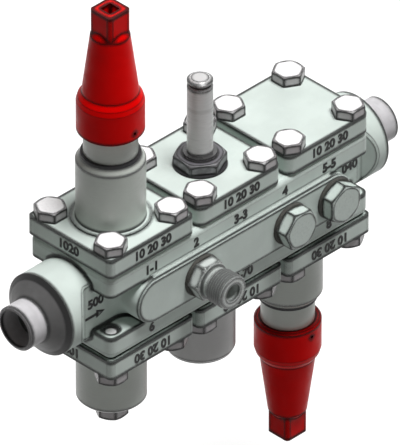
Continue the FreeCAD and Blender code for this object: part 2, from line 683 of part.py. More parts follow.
def stop_module(side, station, below):
    """The shut-off module: bonnet, gland, packing, spindle, disc and the seal cap."""
    bonnet = turned_piece(
        f"{side}_bonnet",
        [
            ("spindle_thread + fit_gap", SPIGOT_END),
            (SPIGOT_RADIUS, SPIGOT_END),
            (SPIGOT_RADIUS, COVER_UNDER),
            ("bonnet_spigot", COVER_UNDER),
            ("bonnet_spigot", RING_TOP),
            ("bonnet_radius", RING_TOP),
            ("bonnet_radius", "bonnet_top - bonnet_chamfer"),
            (SHOULDER, "bonnet_top"),
            ("gland_root + fit_gap", "bonnet_top"),
            ("gland_root + fit_gap", "bonnet_top - gland_depth - packing_height"),
            ("spindle_thread + fit_gap", "bonnet_top - gland_depth - packing_height"),
        ],
    )
    packing = turned_piece(
        f"{side}_packing",
        [
            ("spindle_radius + fit_gap", "bonnet_top - gland_depth - packing_height"),
            ("gland_root", "bonnet_top - gland_depth - packing_height"),
            ("gland_root", "bonnet_top - gland_depth"),
            ("spindle_radius + fit_gap", "bonnet_top - gland_depth"),
        ],
    )
    gland = turned_piece(
        f"{side}_gland",
        [
            ("spindle_radius + fit_gap", "bonnet_top - gland_depth"),
            ("gland_root", "bonnet_top - gland_depth"),
            ("gland_root", "bonnet_top"),
            ("gland_radius", "bonnet_top"),
            ("gland_radius", "gland_top"),
            ("spindle_radius + fit_gap", "gland_top"),
        ],
    )
    collar = turned_piece(
        f"{side}_collar_ring",
        [
            ("gland_radius", "bonnet_top"),
            (SHOULDER, "bonnet_top"),
            (SHOULDER, "bonnet_top + collar_height"),
            ("gland_radius", "bonnet_top + collar_height"),
        ],
    )
    disc = turned_piece(
        f"{side}_stop_disc",
        [
            ("0", "web_half + end_gap"),
            ("seat_radius - disc_inset", "web_half + end_gap"),
            ("disc_radius", "web_half + end_gap + (disc_radius - seat_radius + disc_inset) / 4"),
            ("disc_radius", "web_half + disc_thick"),
            ("disc_boss", "web_half + disc_thick"),
            ("disc_boss", "web_half + disc_height"),
            ("spindle_radius + fit_gap", "web_half + disc_height"),
            ("spindle_radius + fit_gap", "web_half + disc_height - socket_depth"),
            ("0", "web_half + disc_height - socket_depth"),
        ],
    )
    spindle = turned_piece(
        f"{side}_spindle",
        [
            ("0", "web_half + disc_height - socket_depth + fit_gap"),
            ("spindle_radius", "web_half + disc_height - socket_depth + fit_gap"),
            ("spindle_radius", "thread_start"),
            ("spindle_thread", "thread_start"),
            ("spindle_thread", "thread_end"),
            ("spindle_radius", "thread_end"),
            ("spindle_radius", "spindle_top - square_height"),
            ("0", "spindle_top - square_height"),
        ],
    )
    key = new_sketch(spindle, f"{side}_square", "XY_Plane", "spindle_top - square_height")
    draw_outline(key, square("square_side / 2"))
    extrude(spindle, key, "square_height", "key")
    seal = turned_piece(
        f"{side}_cap_seal",
        [
            ("gland_radius - cap_wall / 2", "gland_top"),
            ("gland_radius", "gland_top"),
            ("gland_radius", "gland_top + cap_seal_thick"),
            ("gland_radius - cap_wall / 2", "gland_top + cap_seal_thick"),
        ],
    )
    for piece in (bonnet, packing, gland, collar, disc, spindle, seal, seal_cap(side)):
        place(piece, station, below)


def seal_cap(side):
    """The red cap: barrel, rounded shoulder, taper and a square key with a socket."""
    label = f"{side}_cap"
    body = new_body(label)
    lip = "gland_top + cap_seal_thick"
    knee = "taper_foot + (cap_radius - taper_foot) * knee_width"
    revolve(
        body,
        [
            ("gland_radius + fit_gap", "cap_rim"),
            ("cap_radius - cap_edge", "cap_rim"),
            ("cap_radius", "cap_rim + cap_edge"),
            ("cap_radius", CAP_BARREL),
            (knee, f"{CAP_BARREL} + shoulder_height * knee_height"),
            ("taper_foot", f"{CAP_BARREL} + shoulder_height"),
            ("taper_head", "taper_top"),
            ("key_side / 2", "key_foot"),
            ("0", "key_foot"),
            ("0", "cavity_top"),
            ("taper_head - cap_wall", "cavity_top"),
            ("taper_foot - cap_wall", f"{CAP_BARREL} + shoulder_height"),
            ("taper_foot - cap_wall", lip),
            ("gland_radius + fit_gap", lip),
        ],
    )
    key = new_sketch(body, f"{label}_key", "XY_Plane", "taper_top")
    draw_rounded(key, "(key_side / 2)", "(key_side / 2)", "key_corner")
    extrude(body, key, "key_top - taper_top", "key_block")
    socket = new_sketch(body, f"{label}_socket", "XY_Plane", "key_top")
    draw_outline(socket, square("key_socket / 2"))
    extrude(body, socket, "key_socket_depth", "socket_cut", "PartDesign::Pocket")
    vent = new_sketch(body, f"{label}_vent", "XZ_Plane", "0")
    draw_circle(vent, "vent_radius", "0", "cap_rim + vent_rise")
    extrude(body, vent, "cap_radius + 1", "vent_cut", "PartDesign::Pocket", reverse=True)
    return body


def filter_module(station):
    cup = turned_piece(
        "filter_cup",
        [
            ("cup_cavity", SPIGOT_END),
            (SPIGOT_RADIUS, SPIGOT_END),
            (SPIGOT_RADIUS, COVER_UNDER),
            ("bonnet_spigot", COVER_UNDER),
            ("bonnet_spigot", COVER_TOP),
            ("cup_radius", COVER_TOP),
            ("cup_radius", "cup_bottom - cup_chamfer"),
            ("cup_radius - cup_chamfer", "cup_bottom"),
            ("drain_thread + fit_gap", "cup_bottom"),
            ("drain_thread + fit_gap", "cup_bottom - cup_floor"),
            ("cup_cavity", "cup_bottom - cup_floor"),
        ],
    )
    washer = turned_piece(
        "drain_washer",
        [
            ("drain_thread + fit_gap", "cup_bottom"),
            ("drain_flats / sqrt(3)", "cup_bottom"),
            ("drain_flats / sqrt(3)", "cup_bottom + drain_washer_thick"),
            ("drain_thread + fit_gap", "cup_bottom + drain_washer_thick"),
        ],
    )
    plug = new_body("drain_plug")
    head = new_sketch(plug, "drain_hexagon", "XY_Plane", "cup_bottom + drain_washer_thick")
    draw_outline(head, hexagon("drain_flats"))
    extrude(plug, head, "drain_head", "head")
    face = "(cup_bottom + drain_washer_thick + drain_head)"
    turn_corners(plug, "drain_flats", "(drain_flats / 2 - fit_gap)", face)
    thread = new_sketch(plug, "drain_circle", "XY_Plane", "cup_bottom + drain_washer_thick")
    draw_circle(thread, "drain_thread")
    extrude(plug, thread, "cup_floor + drain_washer_thick", "thread", reverse=True)

    basket_end = "(web_half + basket_length)"
    basket = turned_piece(
        "strainer_basket",
        [
            ("basket_radius - basket_wall", "web_half"),
            ("basket_radius", "web_half"),
            ("basket_radius", basket_end),
            ("0", basket_end),
            ("0", f"{basket_end} - basket_wall"),
            ("basket_radius - basket_wall", f"{basket_end} - basket_wall"),
        ],
    )
    slot = new_sketch(basket, "basket_slot", "XZ_Plane")
    low = "(web_half + slot_end)"
    high = f"({basket_end} - slot_end)"
    draw_outline(
        slot,
        [
            ("-slot_width / 2", low),
            ("slot_width / 2", low),
            ("slot_width / 2", high),
            ("-slot_width / 2", high),
        ],
    )
    cut = extrude(basket, slot, "2 * basket_radius + 2", "slot_cut", "PartDesign::Pocket", both_ways=True)
    doc.recompute()
    pattern = basket.newObject("PartDesign::PolarPattern", "basket_slots")
    pattern.Originals = [cut]
    pattern.Axis = (datum(basket, "Z_Axis"), [""])
    pattern.Angle = 180
    pattern.Occurrences = 5
    use(basket, pattern)
    mesh = turned_piece(
        "strainer_mesh",
        [
            ("basket_radius - basket_wall - mesh_wall", "web_half + end_gap"),
            ("basket_radius - basket_wall", "web_half + end_gap"),
            ("basket_radius - basket_wall", f"{basket_end} - basket_wall"),
            ("basket_radius - basket_wall - mesh_wall", f"{basket_end} - basket_wall"),
        ],
    )
    for piece in (cup, washer, plug, basket, mesh):
        place(piece, station, below=True)


def spring(label, radius, wire, low, high, turns):
    """A coil spring as a square wire ring at each turn, on a thin sleeve that joins the rings."""
    outer = f"({radius} + {wire} / 2)"
    inner = f"({radius} - {wire} / 2)"
    sleeve = f"({inner} + {wire} / 3)"
    pitch = f"(({high} - ({low}) - {wire}) / {turns})"
    corners = []
    for coil in range(turns + 1):
        base = f"({low} + {coil} * {pitch})"
        corners += [(outer, base), (outer, f"({base} + {wire})")]
        if coil < turns:
            corners += [(sleeve, f"({base} + {wire})"), (sleeve, f"({base} + {pitch})")]
    corners += [(inner, high), (inner, low)]
    return turned_piece(label, corners)


def check_module(station):
    shell = turned_piece(
        "check_housing",
        [
            ("guide_radius + fit_gap", SPIGOT_END),
            (SPIGOT_RADIUS, SPIGOT_END),
            (SPIGOT_RADIUS, COVER_UNDER),
            ("bonnet_spigot", COVER_UNDER),
            ("bonnet_spigot", COVER_TOP),
            ("cup_radius", COVER_TOP),
            ("cup_radius", "check_bottom - check_chamfer"),
            ("check_foot", "check_bottom"),
            ("0", "check_bottom"),
            ("0", "guide_bottom"),
            ("guide_radius + fit_gap", "guide_bottom"),
        ],
    )
    disc = turned_piece(
        "check_disc",
        [
            ("0", "web_half + end_gap"),
            ("disc_radius", "web_half + end_gap"),
            ("disc_radius", "web_half + disc_thick"),
            ("guide_radius", "web_half + disc_thick + check_taper"),
            ("guide_radius", "check_stem"),
            ("check_pocket", "check_stem"),
            ("check_pocket", "check_pocket_start"),
            ("0", "check_pocket_start"),
        ],
    )
    coil = spring("check_spring", "check_coil", "check_wire", "check_pocket_start", "guide_bottom", 7)
    for piece in (shell, disc, coil):
        place(piece, station, below=True)


def hex_nut(label, flats, corner, face, low, high, bore, turn):
    """A hexagon nut whose corners are turned to a cylinder and chamfered on top."""
    body = new_body(label)
    plan = new_sketch(body, f"{label}_hexagon", "XY_Plane", low)
    draw_outline(plan, hexagon(flats, turn))
    extrude(body, plan, f"{high} - {low}", "hexagon")
    far = f"({flats} * {BEYOND_CORNERS})"
    cone_foot = f"({high} - ({corner} - {face}) * tan(corner_slope))"
    trimmed = [(face, high), (corner, cone_foot), (corner, low), (far, low), (far, high)]
    revolve(body, trimmed, "corners", "PartDesign::Groove")
    hole = new_sketch(body, f"{label}_hole", "XY_Plane", high)
    draw_circle(hole, bore)
    extrude(body, hole, f"{high} - {low}", "hole_cut", "PartDesign::Pocket")
    return body


def solenoid_module(station):
    bore_top = "core_base"
    groove_high = "(tube_top - groove_drop)"
    groove_low = "(tube_top - groove_drop - groove_width)"
    tube = turned_piece(
        "armature_tube",
        [
            ("armature_radius + fit_gap", COVER_UNDER),
            ("tube_flange", COVER_UNDER),
            ("tube_flange", f"{COVER_UNDER} + tube_flange_thick"),
            ("tube_collar", f"{COVER_UNDER} + tube_flange_thick"),
            ("tube_collar", "collar_top"),
            ("tube_radius", "collar_top"),
            ("tube_radius", f"{groove_low} - tube_chamfer"),
            ("tube_radius - tube_chamfer", groove_low),
            ("groove_radius", groove_low),
            ("groove_radius", groove_high),
            ("tube_radius", groove_high),
            ("tube_radius", "tube_top - groove_drop / 2"),
            ("tube_crown", "tube_top"),
            ("0", "tube_top"),
            ("0", bore_top),
            ("armature_radius + fit_gap", bore_top),
        ],
    )
    washer = turned_piece(
        "solenoid_washer",
        [
            ("tube_collar + fit_gap", COVER_TOP),
            ("nut_corner", COVER_TOP),
            ("nut_corner", f"{COVER_TOP} + nut_washer"),
            ("tube_collar + fit_gap", f"{COVER_TOP} + nut_washer"),
        ],
    )
    nut = hex_nut(
        "solenoid_nut",
        "nut_flats",
        "nut_corner",
        "nut_face",
        f"({COVER_TOP} + nut_washer)",
        "nut_top",
        "tube_collar + fit_gap",
        "nut_turn",
    )
    seat = turned_piece(
        "pilot_seat",
        [
            ("pilot_orifice", COVER_UNDER),
            ("armature_radius", COVER_UNDER),
            ("armature_radius", "armature_base - pilot_taper"),
            ("pilot_nose", "armature_base"),
            ("pilot_orifice", "armature_base"),
        ],
    )
    armature = turned_piece(
        "armature",
        [
            ("0", "armature_base + end_gap"),
            ("armature_radius", "armature_base + end_gap"),
            ("armature_radius", "armature_top"),
            ("armature_pocket", "armature_top"),
            ("armature_pocket", "armature_top - armature_pocket_depth"),
            ("0", "armature_top - armature_pocket_depth"),
        ],
    )
    armature_spring = spring(
        "armature_spring",
        "armature_coil",
        "armature_wire",
        "armature_top - armature_pocket_depth",
        "core_base",
        5,
    )
    piston = turned_piece(
        "main_piston",
        [
            ("0", "web_half + end_gap"),
            ("disc_radius", "web_half + end_gap"),
            ("disc_radius", "web_half + piston_disc"),
            ("piston_stem", "web_half + piston_disc"),
            ("piston_stem", "piston_low"),
            ("piston_radius", "piston_low"),
            ("piston_radius", "piston_high"),
            ("piston_pocket", "piston_high"),
            ("piston_pocket", "piston_high - piston_pocket_depth"),
            ("0", "piston_high - piston_pocket_depth"),
        ],
    )
    piston_spring = spring(
        "piston_spring",
        "piston_coil",
        "piston_wire",
        "piston_high - piston_pocket_depth",
        COVER_UNDER,
        3,
    )
    for piece in (tube, washer, nut, seat, armature, armature_spring, piston, piston_spring):
        place(piece, station)


def on_port(piece, port):
    """Turns a piece so that its own Z points out of a port, from the pipe axis."""
    piece.Placement = FreeCAD.Placement(VECTOR(), FreeCAD.Rotation(VECTOR(1, 0, 0), 90))
    bind(piece, "Placement.Base.x", PORTS[port])


def port_pieces():
    seat = "(rail_face + port_washer)"
    for port in PORTS:
        washer = turned_piece(
            f"port_{port}_washer",
            [
                ("port_radius + fit_gap", "rail_face"),
                ("port_washer_radius", "rail_face"),
                ("port_washer_radius", seat),
                ("port_radius + fit_gap", seat),
            ],
        )
        on_port(washer, port)
    for port, turn in ((4, "middle_plug_turn"), (5, "outlet_plug_turn")):
        label = f"port_{port}_plug"
        plug = new_body(label)
        plan = new_sketch(plug, f"{label}_hexagon", "XY_Plane", seat)
        draw_outline(plan, hexagon("plug_flats", turn))
        extrude(plug, plan, "plug_head", "head")
        turn_corners(plug, "plug_flats", "plug_face", f"({seat} + plug_head)")
        thread = new_sketch(plug, f"{label}_circle", "XY_Plane", seat)
        draw_circle(thread, "port_radius")
        extrude(plug, thread, "plug_reach + port_washer", "thread", reverse=True)
        on_port(plug, port)

    connector = new_body("port_2_connector")
    plan = new_sketch(connector, "connector_hexagon", "XY_Plane", seat)
    draw_outline(plan, hexagon("plug_flats", "connector_turn"))
    extrude(connector, plan, "connector_head", "head")
    neck_start = f"({seat} + connector_head)"
    turn_corners(connector, "plug_flats", "plug_face", neck_start)
    inner_end = "(rail_face - plug_reach)"
    thread_start = f"({neck_start} + connector_neck)"
    revolve(
        connector,
        [
            ("connector_bore", inner_end),
            ("port_radius", inner_end),
            ("port_radius", seat),
            ("connector_collar", seat),
            ("connector_collar", thread_start),
            ("connector_thread", thread_start),
            ("connector_thread", f"{thread_start} + connector_length - connector_chamfer"),
            ("connector_thread - connector_chamfer", f"{thread_start} + connector_length"),
            ("connector_bore", f"{thread_start} + connector_length"),
        ],
        "stem",
    )
    bore = new_sketch(connector, "connector_hole", "XY_Plane", f"{thread_start} + connector_length")
    draw_circle(bore, "connector_bore")
    through = "connector_length + connector_neck + connector_head + 1"
    extrude(connector, bore, through, "hole", "PartDesign::Pocket")
    on_port(connector, 2)


def build():
    weld_ends()
    housing()
    bolt = master_bolt()

    plain_bore = [
        ("0", f"{COVER_UNDER} - 1"),
        ("bonnet_spigot", f"{COVER_UNDER} - 1"),
        ("bonnet_spigot", f"{RING_TOP} + 1"),
        ("0", f"{RING_TOP} + 1"),
    ]
    tube_step = f"({COVER_UNDER} + tube_flange_thick)"
    solenoid_bore = [
        ("0", "piston_sleeve - 1"),
        ("piston_radius + fit_gap", "piston_sleeve - 1"),
        ("piston_radius + fit_gap", COVER_UNDER),
        ("tube_flange + fit_gap", COVER_UNDER),
        ("tube_flange + fit_gap", tube_step),
        ("tube_collar + fit_gap", tube_step),
        ("tube_collar + fit_gap", f"{COVER_TOP} + 1"),
        ("0", f"{COVER_TOP} + 1"),
    ]
    wide = ("cover_half", "cover_corner")
    plain = ("plain_half", "plain_corner")
    piston_sleeve = f"{COVER_UNDER} - piston_sleeve"
    modules = (
        ("inlet_stop", 0, False, wide, plain_bore, True, None),
        ("filter", 0, True, wide, plain_bore, False, None),
        ("solenoid", 1, False, plain, solenoid_bore, False, piston_sleeve),
        ("check", 1, True, wide, plain_bore, False, None),
        ("blank", 2, False, plain, None, False, "spigot_depth"),
        ("outlet_stop", 2, True, wide, plain_bore, True, None),
    )
    for name, station, below, (half, corner), bore, ring, sleeve in modules:
        cover(f"{name}_cover", half, corner, bore, station, below, ring, sleeve)
        gasket(f"{name}_gasket", station, below)
        bolt_ring(f"{name}_bolts", bolt, station, below)

    stop_module("inlet", 0, False)
    filter_module(0)
    solenoid_module(1)
    check_module(1)
    stop_module("outlet", 2, True)
    port_pieces()


HELPERS = ("casting", "cover_bolt")
NODE_TYPES = ("PartDesign::Body", "Part::Cut", "Part::Compound")


def export():
    doc.recompute()
    failed = [o.Label for o in doc.Objects if {"Invalid", "Error"} & set(o.State)]
    if failed:
        raise RuntimeError(f"failed objects: {failed}")
    nodes = [o for o in doc.Objects if o.TypeId in NODE_TYPES and o.Label not in HELPERS]
    for node in nodes:
        if node.Shape.isNull() or not node.Shape.isValid():
            raise RuntimeError(f"{node.Label} has no valid shape")
    os.makedirs("parts", exist_ok=True)
    for node in nodes:
        node.Shape.exportStep(f"parts/{node.Label}.step")
    print(len(nodes), "nodes written")


build()
export()
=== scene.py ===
import json
import math

import bpy
import numpy as np
from bpy.props import FloatProperty, FloatVectorProperty, PointerProperty
from bpy.types import Operator, Panel, PropertyGroup
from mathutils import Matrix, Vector


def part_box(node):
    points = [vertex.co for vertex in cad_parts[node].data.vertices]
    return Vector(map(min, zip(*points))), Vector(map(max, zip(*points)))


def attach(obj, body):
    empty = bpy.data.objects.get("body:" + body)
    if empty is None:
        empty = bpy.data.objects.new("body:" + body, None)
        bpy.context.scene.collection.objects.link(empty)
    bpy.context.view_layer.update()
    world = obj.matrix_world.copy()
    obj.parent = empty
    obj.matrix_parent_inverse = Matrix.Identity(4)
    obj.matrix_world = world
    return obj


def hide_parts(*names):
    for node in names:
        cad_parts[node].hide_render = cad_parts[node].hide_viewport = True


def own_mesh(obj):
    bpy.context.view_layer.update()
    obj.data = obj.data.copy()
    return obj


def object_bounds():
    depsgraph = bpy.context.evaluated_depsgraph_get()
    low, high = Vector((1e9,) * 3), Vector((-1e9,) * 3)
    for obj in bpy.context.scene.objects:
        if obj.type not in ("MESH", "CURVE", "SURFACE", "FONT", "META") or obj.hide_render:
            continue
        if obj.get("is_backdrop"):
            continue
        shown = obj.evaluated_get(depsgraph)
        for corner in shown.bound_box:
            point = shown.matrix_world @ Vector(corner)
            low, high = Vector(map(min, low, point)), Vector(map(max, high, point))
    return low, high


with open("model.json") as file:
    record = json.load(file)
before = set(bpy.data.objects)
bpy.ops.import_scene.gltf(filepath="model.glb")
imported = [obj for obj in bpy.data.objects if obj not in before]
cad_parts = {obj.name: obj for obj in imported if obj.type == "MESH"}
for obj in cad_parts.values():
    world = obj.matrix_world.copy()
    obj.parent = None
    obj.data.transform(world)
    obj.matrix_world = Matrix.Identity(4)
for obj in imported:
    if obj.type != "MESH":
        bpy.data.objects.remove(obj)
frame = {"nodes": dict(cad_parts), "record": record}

bl_info = {
    "name": "Valve Station",
    "version": (1, 0, 0),
    "blender": (4, 5, 0),
    "location": "View3D > Sidebar > Valve Station",
    "description": "Finishes and fine pieces of a cast valve station with two stop valves",
    "category": "Object",
}

# The photo's height in pixels, the camera's sensor in millimetres, the scale at the middle axis, and
# how far the camera sees, in distances to the object.
PHOTO_HEIGHT = 445
SENSOR = 36.0
PIXELS_PER_METRE = 1790.0
CLIP_ROOM = 4

# Places on the castings, in metres: along the flow, and up from the pipe's axis.
INLET_AXIS = 0.075
STATION_PITCH = 0.070
MIDDLE_AXIS = INLET_AXIS + STATION_PITCH
WAIST_HALF = 0.0173
RAIL_OVER_FLANGE = 0.0038
FLANGE_MIDDLE = 0.0200
COVER_MIDDLE = 0.0345
STUB_LENGTH = 0.0129
ARROW_START = (0.0377, -0.0042)

# Each cover, and whether it hangs under the housing, where its numerals stand on their heads.
COVERS = (
    ("inlet_stop_cover", False),
    ("solenoid_cover", False),
    ("blank_cover", False),
    ("filter_cover", True),
    ("check_cover", True),
    ("outlet_stop_cover", True),
)
COVERS_AT_INLET = ("inlet_stop_cover", "filter_cover")

UPPER_NUMERALS = ("1-1", "2", "3-3", "4", "5-5")
LOWER_NUMERALS = ("6", "70-70", "8")
COVER_NUMERAL = "10 20 30"
COVER_END_NUMERAL = "1020"

# The waist's numerals: name, text, place along the flow and place up.
WAIST_NUMERALS = (
    ("inlet_waist_numeral", "500", 0.0458, 0.0042),
    ("outlet_waist_numeral", "040", 0.2465, -0.0034),
)

# Raised marks: a font's size over the height of its numerals, the steps on its curves, and how deep
# a mark's foot is sunk in the wall.
SIZE_OVER_HEIGHT = 1.38
FONT_STEPS = 6
SINK = 0.00005

# The arrow: its neck as a share of its length, its shaft of its half width, its filling of its head,
# the bevel's start of its relief and its top of its outline. Then the filling's extra relief.
ARROW_NECK = 0.58
ARROW_SHAFT = 0.30
ARROW_FILLING = 0.45
BEVEL_START = 0.7
TOP_SCALE = 0.95
FILLING_RELIEF = 0.0001

# The connector: its chamfers, the hexagon's turn and cone, and the rings over its head and one pitch.
START_CHAMFER = 0.0008
END_CHAMFER = 0.0005
BORE_CHAMFER = 0.0003
HEXAGON_TURN = math.radians(30)
HEAD_CONE = math.radians(30)
HEAD_RINGS = 12
RINGS_PER_PITCH = 14

# The thread's wave: more than 1 high and lowered a little, then cut to 0 to 1, so that it is flat
# at its roots and crests.
WAVE_HEIGHT = 1.25
WAVE_DROP = 0.12

# Coil springs: node, coil radius, wire, turns, the joint that shortens it and the end that stays.
SPRINGS = (
    ("check_spring", 0.0041, 0.0011, 8, "check_lift", "low"),
    ("armature_spring", 0.0024, 0.0008, 6, "armature_stroke", "high"),
    ("piston_spring", 0.0055, 0.0012, 4, "piston_lift", "high"),
)

# The closed turns at each end of a spring, and the share of the climb that goes on through them.
CLOSED_TURNS = 0.75
CLOSED_CLIMB = 0.04

# The angle under which two faces are shaded as one, on a made piece and on a numeral.
SMOOTH_ANGLE = 35.0
NUMERAL_ANGLE = 30.0

# The stage. Each lamp has its direction from the object and its width in degrees. Its distance only
# places its symbol, because a sun lamp shines alike from any place.
LAMPS = {
    "key": ((0.12, -0.20, 1.0), 24),
    "side": ((0.35, -0.93, -0.10), 24),
    "back": ((0.75, 0.75, 0.20), 60),
}
LAMP_DISTANCE = 2
FLOOR_ROOM = 0.030
FLOOR_LINES = 9
FLOOR_GREY = 0.24
FLOOR_GLOW = 0.92
AIR = (1.0, 0.89, 0.80)

# Edge lines and painted crease shade: where each begins and is full, on the share that its node
# gives. The painted shade's reach and the widths on small pieces and on the caps are parts of the edge
# width.
EDGE_SAMPLES = 14
EDGE_RANGE = (0.997, 0.981)
CREASE_SHADE_SAMPLES = 8
CREASE_SHADE_RANGE = (0.72, 0.56)
CREASE_SHADE_REACH = 0.35
SMALL_EDGE = 0.75
CAP_EDGE = 1.1

# Grain, in metres: a turning mark's width and how many widths long it is, a crystal of zinc, the
# strainer's wires, and the fade from a weld end's cone to its stub.
FEED_MARK = 0.00028
FEED_STRETCH = 30
SPANGLE = 1 / 900
WIRE_PITCH = 0.0006
STUB_FADE = 0.0002

# The part that most of a noise lies in, and how far upright a normal is on a flat end.
NOISE_MIDDLE = (0.3, 0.7)
FLAT_RANGE = (0.90, 0.99)

# Colours, as linear shares of red, green and blue.
CASTING = (0.65, 0.73, 0.69)
TURNED = (0.50, 0.54, 0.50)
CHECK_STEEL = (0.50, 0.50, 0.50)
WELD_CONE = (0.16, 0.16, 0.16)
WELD_STUB = (0.60, 0.59, 0.61)
# The bolts: flat ends painted near white as a highlight, and the colour of their sides.
ZINC_END_HIGHLIGHT = (0.98, 0.97, 0.98)
ZINC_SIDE = (0.54, 0.52, 0.535)
PLUG_STEEL = (0.62, 0.70, 0.66)
STAINLESS = (0.62, 0.62, 0.62)
CONNECTOR_STEEL = (0.62, 0.66, 0.64)
BLACK_OXIDE = (0.20, 0.20, 0.21)
# The nuts' flat ends, painted darker as shade.
OXIDE_TOP_SHADE = (0.13, 0.125, 0.14)
CAP_RED = (0.80, 0.0, 0.0)
CAP_SCUFF = (0.70, 0.03, 0.02)
# The cap's edge line and painted crease shade.
CAP_LINE_AND_SHADE = (0.03, 0.0, 0.0)
RUBBER = (0.022, 0.022, 0.024)
FIBRE = (0.07, 0.068, 0.062)
PACKING = (0.72, 0.71, 0.66)
BRASS = (0.56, 0.38, 0.13)
# Ink of the numerals, and also the colour of the edge lines and the painted crease shade.
INK_AND_SHADE = (0.012, 0.012, 0.012)
WORN_INK = (0.035, 0.035, 0.034)


class FinishSettings(PropertyGroup):
    """Colours of the finishes, the dark lines along edges and the painted shade in creases."""

    casting: FloatVectorProperty(
        name="Casting", description="Colour of the cast housing and covers",
        default=CASTING, subtype="COLOR", min=0, max=1)
    turned: FloatVectorProperty(
        name="Turned steel", description="Colour of bonnets, glands and cups",
        default=TURNED, subtype="COLOR", min=0, max=1)
    # The bright colour that the bolts' flat ends keep is a painted highlight; their sides take a darker
    # one.
    zinc: FloatVectorProperty(
        name="Zinc plate", description="Colour of the flat ends of the bolts",
        default=ZINC_END_HIGHLIGHT, subtype="COLOR", min=0, max=1)
    cap: FloatVectorProperty(
        name="Seal cap", description="Colour of the two seal caps",
        default=CAP_RED, subtype="COLOR", min=0, max=1)
    edge_width: FloatProperty(
        name="Edge line", description="Radius that an edge is looked for in. The line is much thinner",
        default=0.0042, min=0, max=0.008, unit="LENGTH")
    # Also sets how dark the painted shade in creases is.
    edge_strength: FloatProperty(
        name="Edge darkness", description="How dark that line is",
        default=0.95, min=0, max=1, subtype="FACTOR")


class ConnectorSettings(PropertyGroup):
    """Sizes of the threaded side connector."""

    crest: FloatProperty(
        name="Thread crest", description="Radius over the crests of the thread",
        default=0.0105, min=0.004, max=0.02, unit="LENGTH")
    thread_pitch: FloatProperty(
        name="Thread pitch", description="Pitch of the pipe thread",
        default=0.00160, min=0.0005, max=0.004, unit="LENGTH")
    thread_depth: FloatProperty(
        name="Thread depth", description="Depth of the thread from crest to root",
        default=0.0009, min=0.0002, max=0.002, unit="LENGTH")
    hexagon: FloatProperty(
        name="Hexagon", description="Width across flats of the connector",
        default=0.022, min=0.01, max=0.04, unit="LENGTH")
    head: FloatProperty(
        name="Head", description="Height of the hexagon",
        default=0.0075, min=0.003, max=0.02, unit="LENGTH")
    neck: FloatProperty(
        name="Neck", description="Length of the neck between hexagon and thread",
        default=0.0034, min=0.001, max=0.01, unit="LENGTH")
    neck_radius: FloatProperty(
        name="Neck radius", description="Radius of that neck",
        default=0.0093, min=0.004, max=0.02, unit="LENGTH")
    face_radius: FloatProperty(
        name="Hexagon face", description="Radius of the hexagon's turned face",
        default=0.0107, min=0.004, max=0.02, unit="LENGTH")
    bore: FloatProperty(
        name="Bore", description="Radius of the bore",
        default=0.0053, min=0.001, max=0.01, unit="LENGTH")


class MarkSettings(PropertyGroup):
    """Sizes of the raised numerals and the flow arrow."""

    numeral_height: FloatProperty(
        name="Numeral height", description="Height of the raised numerals",
        default=0.0059, min=0.002, max=0.01, unit="LENGTH")
    boldness: FloatProperty(
        name="Boldness", description="How much a numeral's strokes are widened on each side",
        default=0.00026, min=0, max=0.001, unit="LENGTH")
    relief: FloatProperty(
        name="Relief", description="How far a numeral or the arrow stands proud",
        default=0.00035, min=0.0001, max=0.001, unit="LENGTH")
    arrow_length: FloatProperty(
        name="Arrow length", description="Length of the flow arrow",
        default=0.0150, min=0.005, max=0.03, unit="LENGTH")
    arrow_width: FloatProperty(
        name="Arrow width", description="Width of the arrow's head",
        default=0.0050, min=0.002, max=0.02, unit="LENGTH")


class StageSettings(PropertyGroup):
    """Camera, lamps and floor."""

    lens: FloatProperty(
        name="Lens", description="Focal length in millimetres",
        default=1400.0, min=50, max=1500)
    azimuth: FloatProperty(
        name="Azimuth", description="Where the camera stands round the object",
        default=math.radians(-45.0), subtype="ANGLE")
    elevation: FloatProperty(
        name="Elevation", description="How high the camera stands",
        default=math.asin(1 / math.sqrt(3)), subtype="ANGLE")
    key: FloatProperty(
        name="Key lamp", description="Light that the key lamp gives a face turned to it",
        default=1.09, min=0, max=3)
    side: FloatProperty(
        name="Side lamp", description="Light of the lamp on the ports' side",
        default=0.09, min=0, max=3)
    back: FloatProperty(
        name="Back lamp", description="Light of the lamp on the far side",
        default=0.22, min=0, max=3)
    ambient: FloatProperty(
        name="Ambient", description="Light from all round",
        default=0.065, min=0, max=2)
    floor_size: FloatProperty(
        name="Floor", description="Side of the floor",
        default=9.0, min=1, max=20, unit="LENGTH")


